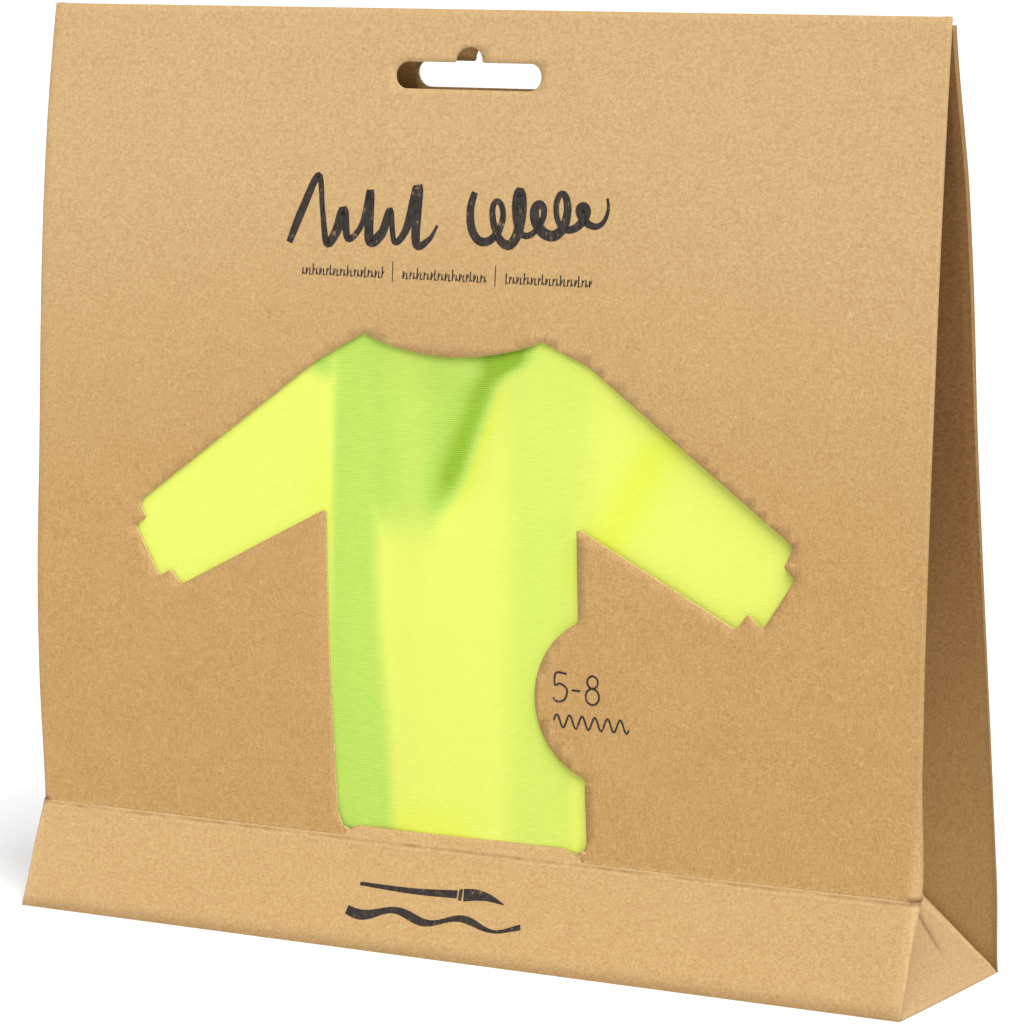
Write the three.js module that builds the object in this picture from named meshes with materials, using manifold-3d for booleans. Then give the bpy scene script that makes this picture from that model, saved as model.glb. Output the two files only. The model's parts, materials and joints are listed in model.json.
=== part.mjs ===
// A child's artist smock in its retail sack: a creased kraft-board sack with side gussets, a
// window cut in the outline of a smock, a euro hang slot through both faces and, inside it,
// the folded long-sleeved smock. Millimetres, +X to the right, +Y to the back, +Z up. The
// origin is the middle of the base, on the surface the sack stands on.
import * as THREE from 'three';
import { mergeVertices } from 'three/addons/utils/BufferGeometryUtils.js';
import Module from 'manifold-3d';

const wasm = await Module();
wasm.setup();

// ---------- driving dimensions: the board sack ----------
const baseWidth = 196.6;
const baseDepth = 45.4;
const footRise = 20.8; // height of the crease between the foot panel and the front panel
const footSetBack = 7.6; // how far the foot panel leans back over that height
const frontHeight = 182.7; // top edge of the front panel
const frontSetBack = 16.6; // how far back that top edge stands
const backDrop = 1.6; // how much lower the back panel's top edge stands
const mouthDepth = 6.0; // outside depth of the sack at its mouth
const board = 0.5; // board thickness
const fit = 0.3; // gap left between pieces that meet at a crease or lie on each other

// ---------- gussets and base ----------
const gussetInset = 22.5; // how far the middle crease is pushed in at the mouth
const footInset = 10.0; // how far the same crease is pushed in at its foot
const footApexHeight = 20.4; // height of the point where the creases of the side meet
const seamFlapWidth = 14.0; // glued strip that closes the tube of the sack
const seamFlapEnds = 9.0; // how much shorter than the back panel the strip is at each end
const baseFlapDepth = 29.0; // front and rear base flaps, measured across the base
const baseSideFlap = 21.0; // side base flaps, measured inwards from the side
const baseCornerCut = 6.0;

// ---------- hang slot ----------
const slotWidth = 32.0;
const slotHeight = 5.2;
const slotBelowTop = 12.7; // its centre line below the front panel's top edge
const slotDomeWidth = 5.9;
const slotDomeRise = 3.0;

// ---------- window ----------
const dieCentre = -1.4; // the cutting die stands this far to the left of the panel's middle
const windowSill = 2.1; // height of the foot panel's tab above the crease
const shoulderHalf = 19.4;
const shoulderRise = 99.3; // heights in the window are measured from the foot crease
const neckSag = 3.6;
const sleeveReach = 71.3; // from the centre line to the corner above the cuff
const sleeveEndRise = 62.3;
const armpitHalf = 27.6;
const armpitRise = 63.7;
const cuffUnderReach = 60.9;
const cuffUnderRise = 47.9;
const cuffStep = 2.0;
const hemHalf = 28.0; // half width of the body of the window at the hem
const hemShift = 2.1; // the hem stands this far to the right of the centre line
const discRadius = 16.2; // round tab for the age mark, standing into the window
const discCentreX = 33.6;
const discCentreRise = 31.7;

// ---------- the folded smock ----------
const foldedHalfWidth = 74.6;
const foldedCentre = -0.5;
const foldedBelowTop = 32.7; // the folded top edge below the front panel's top edge
const foldedFrontTop = 15.7; // set-back of the folded front at its top, from the foot's front
const foldedFrontFoot = 9.6; // the same at the height of the foot crease
const mouthRunning = 0.4; // room between the folded smock and the back panel at the mouth
const cuffHeight = 18.0;
const elasticHeight = 8.0;
const elasticThickness = 0.8;

// ---------- places worked out from them ----------
const halfWidth = baseWidth / 2;
const frontEdge = -baseDepth / 2;
const rearEdge = baseDepth / 2;
const backSetBack = frontSetBack + mouthDepth;
const backHeight = frontHeight - backDrop;
const slotRise = frontHeight - slotBelowTop;
const foldedTop = frontHeight - foldedBelowTop;
const footTop = new THREE.Vector3(0, frontEdge + footSetBack, footRise);
const frontTop = new THREE.Vector3(0, frontEdge + frontSetBack, frontHeight);
const footBottom = new THREE.Vector3(0, frontEdge, 0);
const backBottom = new THREE.Vector3(0, rearEdge, 0);
const backTop = new THREE.Vector3(0, frontEdge + backSetBack, backHeight);
const baseStack = 3 * board + 2 * fit; // three layers of board, one on the other
const foldedBottom = baseStack + fit;
const windowWall = 0.15; // half the gap along the foot crease

// ---------- finishes ----------
const kraft = () => new THREE.MeshStandardMaterial({ color: 0xc9a06a, roughness: 0.9, metalness: 0 });
const neon = () => new THREE.MeshStandardMaterial({ color: 0xdfff2e, roughness: 0.75, metalness: 0 });
const elastic = () => new THREE.MeshStandardMaterial({ color: 0xf0f0e8, roughness: 0.8, metalness: 0 });
const grip = () => new THREE.MeshStandardMaterial({ color: 0xd2ee40, roughness: 0.95, metalness: 0 });
const satin = () => new THREE.MeshStandardMaterial({ color: 0xf6f6f2, roughness: 0.45, metalness: 0 });

const sack = new THREE.Group();

// ---------- helpers: closed bodies, cuts and placing ----------

function bare(geometry) {
  const copy = geometry.clone();
  copy.deleteAttribute('normal');
  copy.deleteAttribute('uv');
  return mergeVertices(copy, 1e-4);
}

function signedVolume(geometry) {
  const p = geometry.attributes.position;
  const index = geometry.index.array;
  const [a, b, c] = [new THREE.Vector3(), new THREE.Vector3(), new THREE.Vector3()];
  let volume = 0;
  for (let i = 0; i < index.length; i += 3) {
    a.fromBufferAttribute(p, index[i]);
    b.fromBufferAttribute(p, index[i + 1]);
    c.fromBufferAttribute(p, index[i + 2]);
    volume += a.dot(b.cross(c)) / 6;
  }
  return volume;
}

// Turns every face of a closed body outwards.
function outward(geometry) {
  const body = bare(geometry);
  if (signedVolume(body) < 0) {
    const index = body.index.array;
    for (let i = 0; i < index.length; i += 3) {
      [index[i], index[i + 1]] = [index[i + 1], index[i]];
    }
  }
  return body;
}

function toSolid(geometry) {
  const body = outward(geometry);
  const vertProperties = new Float32Array(body.attributes.position.array);
  const triVerts = new Uint32Array(body.index.array);
  return new wasm.Manifold(new wasm.Mesh({ numProp: 3, vertProperties, triVerts }));
}

function toGeometry(solid) {
  const mesh = solid.getMesh();
  const geometry = new THREE.BufferGeometry();
  geometry.setAttribute('position', new THREE.BufferAttribute(new Float32Array(mesh.vertProperties), 3));
  geometry.setIndex(new THREE.BufferAttribute(new Uint32Array(mesh.triVerts), 1));
  return geometry;
}

// Cuts the neighbours' keep-out bodies from a piece and leaves its main body.
function clearOf(geometry, neighbours) {
  let solid = toSolid(geometry);
  for (const neighbour of neighbours) solid = solid.subtract(toSolid(neighbour));
  const bodies = solid.decompose();
  bodies.sort((a, b) => b.volume() - a.volume());
  return toGeometry(bodies[0]);
}

function add(name, geometry, material) {
  const drawn = geometry.index ? geometry.toNonIndexed() : geometry.clone();
  drawn.computeVertexNormals();
  const mesh = new THREE.Mesh(drawn, material);
  mesh.name = name;
  sack.add(mesh);
}

// A sheet of board from an outline drawn in (x, distance up the slope). It stands on `foot`,
// leans towards `top`, and its thickness goes to the side that `inward` points to.
function leaningBoard(outline, foot, top, inward, thickness, skin) {
  const up = top.clone().sub(foot).normalize();
  const across = new THREE.Vector3(1, 0, 0);
  const out = across.clone().cross(up);
  const side = Math.sign(out.dot(inward));
  const geometry = new THREE.ExtrudeGeometry(outline, {
    depth: thickness + 2 * skin,
    bevelEnabled: false,
    curveSegments: 10,
  });
  geometry.translate(0, 0, side > 0 ? -skin : -thickness - skin);
  const place = new THREE.Matrix4().makeBasis(across, up, out);
  place.setPosition(foot);
  geometry.applyMatrix4(place);
  return geometry;
}

// A flat piece of board between three corners, grown by `skin` on every side.
function triangleBoard(corners, inward, thickness, skin) {
  const centre = corners[0].clone().add(corners[1]).add(corners[2]).divideScalar(3);
  const across = corners[1].clone().sub(corners[0]).normalize();
  const out = across.clone().cross(corners[2].clone().sub(corners[0])).normalize();
  const up = out.clone().cross(across);
  const side = Math.sign(out.dot(inward));
  const flat = corners.map((corner) => {
    const offset = corner.clone().sub(centre);
    return new THREE.Vector2(offset.dot(across), offset.dot(up));
  });
  const grown = flat.map((point) => point.clone().multiplyScalar(1 + (2 * skin) / point.length()));
  const geometry = new THREE.ExtrudeGeometry(new THREE.Shape(grown), {
    depth: thickness + 2 * skin,
    bevelEnabled: false,
  });
  geometry.translate(0, 0, side > 0 ? -skin : -thickness - skin);
  const place = new THREE.Matrix4().makeBasis(across, up, out);
  place.setPosition(centre);
  geometry.applyMatrix4(place);
  return geometry;
}

// A sheet of board stretched between two straight edges, each given by its two ends, with its
// thickness split evenly to both sides. The sheet may twist from one end to the other.
function twistedBoard(edgeA, edgeB, thickness) {
  const rows = 12;
  const columns = 3;
  const at = (u, v) => {
    const a = edgeA[0].clone().lerp(edgeA[1], v);
    const b = edgeB[0].clone().lerp(edgeB[1], v);
    return a.lerp(b, u);
  };
  const positions = [];
  for (const half of [-0.5, 0.5]) {
    for (let row = 0; row <= rows; row += 1) {
      for (let column = 0; column <= columns; column += 1) {
        const u = column / columns;
        const v = row / rows;
        const alongU = at(1, v).sub(at(0, v));
        const alongV = at(u, 1).sub(at(u, 0));
        const normal = alongU.cross(alongV).normalize();
        positions.push(...at(u, v).addScaledVector(normal, half * thickness).toArray());
      }
    }
  }
  const layer = (rows + 1) * (columns + 1);
  const id = (side, row, column) => side * layer + row * (columns + 1) + column;
  const index = [];
  const quad = (a, b, c, d) => index.push(a, b, c, a, c, d);
  for (let row = 0; row < rows; row += 1) {
    for (let column = 0; column < columns; column += 1) {
      quad(id(0, row, column), id(0, row + 1, column), id(0, row + 1, column + 1), id(0, row, column + 1));
      quad(id(1, row, column), id(1, row, column + 1), id(1, row + 1, column + 1), id(1, row + 1, column));
    }
    quad(id(0, row, 0), id(1, row, 0), id(1, row + 1, 0), id(0, row + 1, 0));
    quad(id(0, row, columns), id(0, row + 1, columns), id(1, row + 1, columns), id(1, row, columns));
  }
  for (let column = 0; column < columns; column += 1) {
    quad(id(0, 0, column), id(0, 0, column + 1), id(1, 0, column + 1), id(1, 0, column));
    quad(id(0, rows, column), id(1, rows, column), id(1, rows, column + 1), id(0, rows, column + 1));
  }
  const geometry = new THREE.BufferGeometry();
  geometry.setAttribute('position', new THREE.Float32BufferAttribute(positions, 3));
  geometry.setIndex(index);
  return geometry;
}

function plainOutline(halfX, low, high) {
  const outline = new THREE.Shape();
  outline.moveTo(-halfX, low);
  outline.lineTo(halfX, low);
  outline.lineTo(halfX, high);
  outline.lineTo(-halfX, high);
  outline.closePath();
  return outline;
}

// A euro slot: a long hole with round ends and a low dome in the middle of its top edge.
function euroSlot(centreRise) {
  const radius = slotHeight / 2;
  const straight = slotWidth / 2 - radius;
  const domeHalf = slotDomeWidth / 2;
  const hole = new THREE.Path();
  hole.moveTo(dieCentre - straight, centreRise - radius);
  hole.lineTo(dieCentre + straight, centreRise - radius);
  hole.absarc(dieCentre + straight, centreRise, radius, -Math.PI / 2, Math.PI / 2, false);
  hole.lineTo(dieCentre + domeHalf, centreRise + radius);
  hole.absellipse(dieCentre, centreRise + radius, domeHalf, slotDomeRise, 0, Math.PI, false);
  hole.lineTo(dieCentre - straight, centreRise + radius);
  hole.absarc(dieCentre - straight, centreRise, radius, Math.PI / 2, (3 * Math.PI) / 2, false);
  return hole;
}

// ---------- the board panels ----------

// One half of the window's outline, from the armpit out to the cuff and back to the shoulder
// (side +1, the right half) or the other way round (side -1, the left half).
function sleeveOutline(side) {
  const points = [
    [armpitHalf, armpitRise],
    [cuffUnderReach, cuffUnderRise],
    [cuffUnderReach + 2.6, cuffUnderRise + cuffStep],
    [cuffUnderReach + 6.2, cuffUnderRise + 0.7],
    [sleeveReach + 1.4, sleeveEndRise - 4.6],
    [sleeveReach - 0.3, sleeveEndRise - 2.4],
    [sleeveReach + 0.8, sleeveEndRise],
    [sleeveReach - 1.2, sleeveEndRise + 2.6],
    [sleeveReach - 10.3, sleeveEndRise + 10.3],
    [sleeveReach - 28.5, sleeveEndRise + 23.4],
    [shoulderHalf + 7.4, shoulderRise - 3.4],
    [shoulderHalf, shoulderRise],
  ];
  const placed = points.map(([x, rise]) => new THREE.Vector2(dieCentre + side * x, rise));
  return side > 0 ? placed : placed.reverse();
}

function frontOutline() {
  const top = frontTop.distanceTo(footTop);
  const hemLeft = dieCentre + hemShift - hemHalf;
  const hemRight = dieCentre + hemShift + hemHalf;
  const lineX = (rise) => THREE.MathUtils.lerp(hemRight, dieCentre + armpitHalf, rise / armpitRise);
  const reach = lineX(discCentreRise) - discCentreX;
  const open = Math.acos(reach / discRadius);
  const outline = new THREE.Shape();
  outline.moveTo(-halfWidth, windowWall);
  outline.lineTo(hemLeft, windowWall);
  for (const point of sleeveOutline(-1).reverse()) outline.lineTo(point.x, point.y);
  outline.quadraticCurveTo(
    dieCentre, shoulderRise - 2 * neckSag, dieCentre + shoulderHalf, shoulderRise,
  );
  for (const point of sleeveOutline(1).reverse().slice(1)) outline.lineTo(point.x, point.y);
  outline.absarc(discCentreX, discCentreRise, discRadius, open, 2 * Math.PI - open, false);
  outline.lineTo(hemRight, windowWall);
  outline.lineTo(halfWidth, windowWall);
  outline.lineTo(halfWidth, top);
  outline.lineTo(-halfWidth, top);
  outline.closePath();
  return outline;
}

const inFromFront = new THREE.Vector3(0, 1, 0);
const inFromBack = new THREE.Vector3(0, -1, 0);

function frontPanel() {
  const outline = frontOutline();
  outline.holes.push(euroSlot(slotRise - footRise));
  return leaningBoard(outline, footTop, frontTop, inFromFront, board, 0);
}

function footPanel() {
  const rise = footTop.distanceTo(footBottom);
  const sillHalf = hemHalf - 2.2;
  const sillCentre = dieCentre + hemShift;
  const low = (board * footSetBack) / footRise; // keeps the leaning bottom edge on the floor
  const outline = new THREE.Shape();
  outline.moveTo(-halfWidth, low);
  outline.lineTo(halfWidth, low);
  outline.lineTo(halfWidth, rise - windowWall);
  outline.lineTo(sillCentre + sillHalf, rise - windowWall);
  outline.lineTo(sillCentre + sillHalf - 1.2, rise + windowSill);
  outline.lineTo(sillCentre - sillHalf + 1.2, rise + windowSill);
  outline.lineTo(sillCentre - sillHalf, rise - windowWall);
  outline.lineTo(-halfWidth, rise - windowWall);
  outline.closePath();
  return leaningBoard(outline, footBottom, footTop, inFromFront, board, 0);
}

function backPanel() {
  const lean = backTop.distanceTo(backBottom) / backHeight;
  const low = (board * (rearEdge - backTop.y)) / backHeight;
  const outline = plainOutline(halfWidth, low, backTop.distanceTo(backBottom));
  outline.holes.push(euroSlot(slotRise * lean));
  return leaningBoard(outline, backBottom, backTop, inFromBack, board, 0);
}

// Bodies that the other pieces are cut back from, `fit` larger than the panels.
const footKeepOut = leaningBoard(
  plainOutline(halfWidth + fit, -fit, footTop.distanceTo(footBottom) + fit),
  footBottom, footTop, inFromFront, board, fit,
);
const frontKeepOut = leaningBoard(
  plainOutline(halfWidth + fit, -fit, frontTop.distanceTo(footTop) + fit),
  footTop, frontTop, inFromFront, board, fit,
);
const backKeepOut = leaningBoard(
  plainOutline(halfWidth + fit, -fit, backTop.distanceTo(backBottom) + fit),
  backBottom, backTop, inFromBack, board, fit,
);

add('front_panel', frontPanel(), kraft());
add('foot_panel', footPanel(), kraft());
add('back_panel', backPanel(), kraft());

// ---------- the base: four flaps glued one on the other ----------

// A flat flap between two depths and two side positions, with its free corners cut off.
function baseFlap(outline, level) {
  const geometry = new THREE.ExtrudeGeometry(outline, { depth: board, bevelEnabled: false });
  geometry.translate(0, 0, level * (board + fit));
  return geometry;
}

function lengthwiseFlap(side) {
  const root = side * (baseDepth / 2 - board - fit);
  const free = side * (baseDepth / 2 - baseFlapDepth);
  const half = halfWidth - board - fit;
  const outline = new THREE.Shape();
  outline.moveTo(-half, root);
  outline.lineTo(half, root);
  outline.lineTo(half - baseCornerCut, free);
  outline.lineTo(-half + baseCornerCut, free);
  outline.closePath();
  return outline;
}

function sideFlap(side) {
  const root = side * (halfWidth - board - fit);
  const free = side * (halfWidth - baseSideFlap);
  const half = baseDepth / 2 - 2 * board - 2 * fit;
  const outline = new THREE.Shape();
  outline.moveTo(root, -half + 1);
  outline.lineTo(root, half - 1);
  outline.lineTo(free, half - baseCornerCut);
  outline.lineTo(free, -half + baseCornerCut);
  outline.closePath();
  return outline;
}

const frontFlap = clearOf(baseFlap(lengthwiseFlap(-1), 0), [footKeepOut]);
const rearFlap = clearOf(baseFlap(lengthwiseFlap(1), 1), [backKeepOut]);
add('base_flap_front', frontFlap, kraft());
add('base_flap_rear', rearFlap, kraft());

const baseKeepOut = new THREE.BoxGeometry(baseWidth + 2, baseDepth + 2, 2 * (board + fit) + fit);
baseKeepOut.translate(0, 0, (2 * (board + fit) + fit) / 2 - fit);

// ---------- one side of the sack: two base triangles and the two gusset halves ----------

function sideOfSack(side, label) {
  const corner = (x, y, z) => new THREE.Vector3(side * x, y, z);
  const mouthMiddle = frontEdge + frontSetBack + mouthDepth / 2;
  const inside = board + fit + board / 2; // from a panel's outer face to a sheet laid inside it
  const seamRoom = side < 0 ? board + fit : 0; // the glued strip lies behind the left gusset
  const apart = board / 2 + fit / 2;
  const edgeX = halfWidth - board / 2;
  const apex = corner(halfWidth - footInset, 0, footApexHeight);
  const mouthX = halfWidth - gussetInset;
  const mouthZ = (frontHeight + backHeight) / 2;

  const rearGusset = twistedBoard(
    [
      corner(edgeX, rearEdge - inside - seamRoom, baseStack),
      corner(edgeX, backTop.y - inside - seamRoom, backHeight),
    ],
    [apex.clone().setY(apart), corner(mouthX, mouthMiddle + apart, mouthZ)],
    board,
  );
  const frontGusset = twistedBoard(
    [
      corner(edgeX, footTop.y + inside, footRise),
      corner(edgeX, frontTop.y + inside, frontHeight),
    ],
    [apex.clone().setY(-apart), corner(mouthX, mouthMiddle - apart, mouthZ)],
    board,
  );

  const inward = new THREE.Vector3(-side, 0, 0);
  const lowFront = corner(halfWidth, frontEdge, 0);
  const lowRear = corner(halfWidth, rearEdge, 0);
  const creaseEnd = corner(halfWidth, footTop.y, footRise);
  const sideCorners = [lowFront, lowRear, apex];
  const sideTriangle = triangleBoard(sideCorners, inward, board, 0);
  const sideKeepOut = triangleBoard(sideCorners, inward, board, fit);
  const cornerTriangle = triangleBoard([creaseEnd, lowFront, apex], inward, board, 0);
  const cornerKeepOut = triangleBoard([creaseEnd, lowFront, apex], inward, board, fit);

  const sideFloor = [footKeepOut, backKeepOut, baseKeepOut];
  const flapGeometry = clearOf(baseFlap(sideFlap(side), 2), [footKeepOut, backKeepOut, sideKeepOut]);
  add(`base_flap_${label}`, flapGeometry, kraft());
  add(`base_triangle_${label}`, clearOf(sideTriangle, sideFloor), kraft());
  add(
    `foot_corner_${label}`,
    clearOf(cornerTriangle, [footKeepOut, frontKeepOut, baseKeepOut, sideKeepOut]),
    kraft(),
  );
  add(
    `gusset_rear_${label}`,
    clearOf(rearGusset, [backKeepOut, sideKeepOut, cornerKeepOut, baseKeepOut]),
    kraft(),
  );
  add(
    `gusset_front_${label}`,
    clearOf(frontGusset, [frontKeepOut, footKeepOut, sideKeepOut, cornerKeepOut]),
    kraft(),
  );
}

sideOfSack(1, 'right');
sideOfSack(-1, 'left');

// The glued strip lies against the inside of the back panel along its left edge.
function seamFlap() {
  const slope = backTop.distanceTo(backBottom);
  const edge = -halfWidth + board;
  const outline = new THREE.Shape();
  outline.moveTo(edge, seamFlapEnds);
  outline.lineTo(edge + seamFlapWidth, seamFlapEnds + seamFlapWidth / 2);
  outline.lineTo(edge + seamFlapWidth, slope - seamFlapEnds);
  outline.lineTo(edge, slope - seamFlapEnds / 2);
  outline.closePath();
  const shift = new THREE.Vector3(0, -(board + fit), 0);
  return leaningBoard(
    outline, backBottom.clone().add(shift), backTop.clone().add(shift), inFromBack, board, 0,
  );
}

add('seam_flap', seamFlap(), kraft());

// ---------- the folded smock: layers between a leaning front and an upright back ----------

const foldedRear = backTop.y - board - mouthRunning;
const foldedFrontAt = (z) => {
  const share = (z - footRise) / (foldedTop - footRise);
  const setBack = THREE.MathUtils.lerp(foldedFrontFoot, foldedFrontTop, Math.max(share, 0));
  return frontEdge + setBack;
};

// Depth at a share of the folded thickness (0 at the front, 1 at the back), at height z.
const depthAt = (share, z) => THREE.MathUtils.lerp(foldedFrontAt(z), foldedRear, share);

// A closed layer across `x`, up `z` and through `share` of the thickness, fit/2 clear inside.
function layer(x, z, share, hole) {
  const gapFront = share[0] > 0 ? fit / 2 : 0;
  const gapRear = share[1] < 1 ? fit / 2 : 0;
  const heights = [z[0]];
  if (z[0] < footRise && z[1] > footRise) heights.push(footRise);
  heights.push(z[1]);
  const outline = new THREE.Shape();
  heights.forEach((height, i) => {
    const point = [height, depthAt(share[0], height) + gapFront];
    if (i === 0) outline.moveTo(...point);
    else outline.lineTo(...point);
  });
  for (const height of [...heights].reverse()) {
    outline.lineTo(height, depthAt(share[1], height) - gapRear);
  }
  outline.closePath();
  if (hole) outline.holes.push(hole);
  const geometry = new THREE.ExtrudeGeometry(outline, { depth: x[1] - x[0], bevelEnabled: false });
  const place = new THREE.Matrix4().makeBasis(
    new THREE.Vector3(0, 0, 1), new THREE.Vector3(0, 1, 0), new THREE.Vector3(1, 0, 0),
  );
  geometry.applyMatrix4(place);
  geometry.translate(x[0], 0, 0);
  return outward(geometry);
}

const foldedLeft = foldedCentre - foldedHalfWidth;
const foldedRight = foldedCentre + foldedHalfWidth;
const frontShare = [0, 0.22];
const leftShare = [0.22, 0.4];
const hookShare = [0.4, 0.46];
const loopShare = [0.46, 0.52];
const rightShare = [0.52, 0.7];
const sleeveShare = [0.7, 1];
const closureHalf = 12; // the two halves of the back overlap this far past the middle
const sleeveNear = foldedCentre + 4;
const sleeveWidth = 60;
const sleeveBottom = foldedBottom + 9;
const bindingHeight = 8;
const sleeveTop = foldedTop - bindingHeight - 2;

add('smock_front_body', layer([foldedLeft, foldedRight], [foldedBottom, foldedTop], frontShare), neon());
add(
  'smock_back_left',
  layer([foldedLeft, foldedCentre + closureHalf], [foldedBottom, foldedTop], leftShare),
  neon(),
);
add(
  'smock_back_right',
  layer([foldedCentre - closureHalf, foldedRight], [foldedBottom, foldedTop], rightShare),
  neon(),
);
const tapeBottom = foldedBottom + 25;
const tapeLength = 40;
const tapeHalf = 9;
const tapeX = [foldedCentre - tapeHalf, foldedCentre + tapeHalf];
add('hook_tape', layer(tapeX, [tapeBottom, tapeBottom + tapeLength], hookShare), grip());
add('loop_tape', layer(tapeX, [tapeBottom, tapeBottom + tapeLength], loopShare), grip());

const labelWidth = 22;
const labelHeight = 30;
const labelLeft = foldedCentre + closureHalf + 6;
const labelBottom = foldedTop - 50;
add(
  'care_label',
  layer([labelLeft, labelLeft + labelWidth], [labelBottom, labelBottom + labelHeight], [0.43, 0.52]),
  satin(),
);

function sleeve(side, label) {
  const near = foldedCentre + side * (sleeveNear - foldedCentre);
  const far = near + side * sleeveWidth;
  const x = [Math.min(near, far), Math.max(near, far)];
  const cuffInset = 6;
  const cuffX = [x[0] + cuffInset, x[1] - cuffInset];
  const cuffTop = sleeveBottom + cuffHeight;
  const middle = (sleeveBottom + cuffTop) / 2;
  const tunnelHalf = elasticHeight / 2 + fit;
  const centreDepth = (depthAt(sleeveShare[0], middle) + foldedRear) / 2 + fit / 4;
  const tunnel = new THREE.Path();
  const tunnelDepth = elasticThickness / 2 + fit;
  tunnel.moveTo(middle - tunnelHalf, centreDepth - tunnelDepth);
  tunnel.lineTo(middle + tunnelHalf, centreDepth - tunnelDepth);
  tunnel.lineTo(middle + tunnelHalf, centreDepth + tunnelDepth);
  tunnel.lineTo(middle - tunnelHalf, centreDepth + tunnelDepth);
  tunnel.closePath();
  add(`sleeve_${label}`, layer(x, [cuffTop + fit, sleeveTop], sleeveShare), neon());
  add(`cuff_${label}`, layer(cuffX, [sleeveBottom, cuffTop], sleeveShare, tunnel), neon());
  const band = new THREE.BoxGeometry(cuffX[1] - cuffX[0] - 2, elasticThickness, elasticHeight);
  band.translate((cuffX[0] + cuffX[1]) / 2, centreDepth, middle);
  add(`cuff_elastic_${label}`, outward(band), elastic());
}

sleeve(1, 'right');
sleeve(-1, 'left');

const bindingHalf = 46;
const bindingX = [foldedCentre - bindingHalf, foldedCentre + bindingHalf];
add('neck_binding', layer(bindingX, [foldedTop - bindingHeight, foldedTop], sleeveShare), neon());

export default sack;
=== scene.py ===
"""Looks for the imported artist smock: a kraft-board sack with a smock-shaped window, and the
folded neon smock inside it. Lengths in this script are millimetres in the frame's own axes
until a mesh is made, and metres after that."""

import json
import math

import bmesh
import bpy
import numpy as np
from mathutils import Euler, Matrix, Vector, noise
from mathutils.geometry import delaunay_2d_cdt


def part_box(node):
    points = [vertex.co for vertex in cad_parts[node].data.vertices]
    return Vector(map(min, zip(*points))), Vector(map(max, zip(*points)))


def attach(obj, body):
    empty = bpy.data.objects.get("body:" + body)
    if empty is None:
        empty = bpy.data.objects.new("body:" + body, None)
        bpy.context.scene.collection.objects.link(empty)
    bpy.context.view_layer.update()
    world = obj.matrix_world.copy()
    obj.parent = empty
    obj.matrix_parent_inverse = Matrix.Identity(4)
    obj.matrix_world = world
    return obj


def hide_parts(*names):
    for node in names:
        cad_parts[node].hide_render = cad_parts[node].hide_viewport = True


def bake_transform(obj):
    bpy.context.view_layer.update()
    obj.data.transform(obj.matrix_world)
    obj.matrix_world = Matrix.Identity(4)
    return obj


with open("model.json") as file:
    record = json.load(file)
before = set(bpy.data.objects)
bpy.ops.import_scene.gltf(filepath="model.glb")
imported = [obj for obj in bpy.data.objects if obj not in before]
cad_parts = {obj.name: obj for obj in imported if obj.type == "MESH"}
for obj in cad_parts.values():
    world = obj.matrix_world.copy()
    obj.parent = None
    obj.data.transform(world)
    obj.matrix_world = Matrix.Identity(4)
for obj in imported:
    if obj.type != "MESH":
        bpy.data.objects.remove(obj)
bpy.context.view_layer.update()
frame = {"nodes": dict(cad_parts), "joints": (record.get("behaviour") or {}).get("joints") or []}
MM = 0.001


def box_mm(node):
    low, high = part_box(node)
    return np.array(low) / MM, np.array(high) / MM


# ---------- places taken from the frame ----------

HALF, _, TOP_Z = box_mm("front_panel")[1]  # half the sack's width, the top of its front
FRONT_Y = box_mm("foot_panel")[0][1]
_, REAR_Y, BACK_Z = box_mm("back_panel")[1]
CLOTH_LOW, CLOTH_HIGH = box_mm("smock_front_body")
MOUTH_HINGE = frame["joints"][1]["pos_m"]
CREASE_Y, CREASE_Z = MOUTH_HINGE[1] / MM, MOUTH_HINGE[2] / MM  # the foot crease
SIDE_TOP = (TOP_Z + BACK_Z) / 2
APEX_Z = 20.4  # the tip of the base triangle, where the side fold's middle crease starts

# ---------- sizes of the board, its creases and the die's cuts ----------

BOARD = 0.45  # thickness
BACK_LEAN = 25.1  # how far the back's top edge stands in front of its foot
LIP = 1.9  # the folds at the side edges start this far in
INNER = HALF - LIP
RIGHT_EDGE = (7.8, 9.5, 1.8)  # the front's: how far back at its foot, how much more at its top,
LEFT_EDGE = (7.4, 8.5, 3.6)  # and how sharply it curves
FOLD_RADIUS = 0.7
FOOT_FOLD = 1.8  # the front edges open out to this radius just above the foot crease
FOOT_FOLD_TOP = 46.0
DIE_X = -1.4  # middle line of everything the die cuts
SLOT_Z = 170.0
SLOT_HALF = 16.0
SLOT_RADIUS = 2.6
DOME_HALF = 2.95
DOME_RISE = 3.0
DISC_X, DISC_Z, DISC_RADIUS = 33.6, 52.5, 16.2
SILL_Z = CREASE_Z + 2.1
CREASE_ROWS = [0.0, 0.25, 0.5, 0.75, 1.0, 1.3, 1.6, 2.0, 2.6, 3.4]  # mesh rows at the foot crease
CREASE_STEP, CUT_STEP, EDGE_STEP = 1.0, 1.6, 2.5  # along the foot crease, the cuts, the edges
ARC_STEPS, FOLD_STEPS = 6, 9  # mesh steps round a cut's corner, and round a fold

# ---------- sizes of the folded smock ----------

# Shares of its thickness, from its front face to its rear face.
FRONT_END = 0.22
LEFT_HALF = (0.22, 0.40)
RIGHT_HALF = (0.52, 0.70)
ARMS_START = 0.70
TAPE_SHARE = 0.46
REAR_FACE = -1.0
SMOCK_LEAN = 0.0472  # how far it leans back for each millimetre of height
CLOTH = 0.17  # thickness
PLY_GAP = 0.15  # left free between the parts of the stack
COARSE_STEP = 3.0  # mesh step of the cloth that doesn't show

# ---------- camera and light ----------

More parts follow.
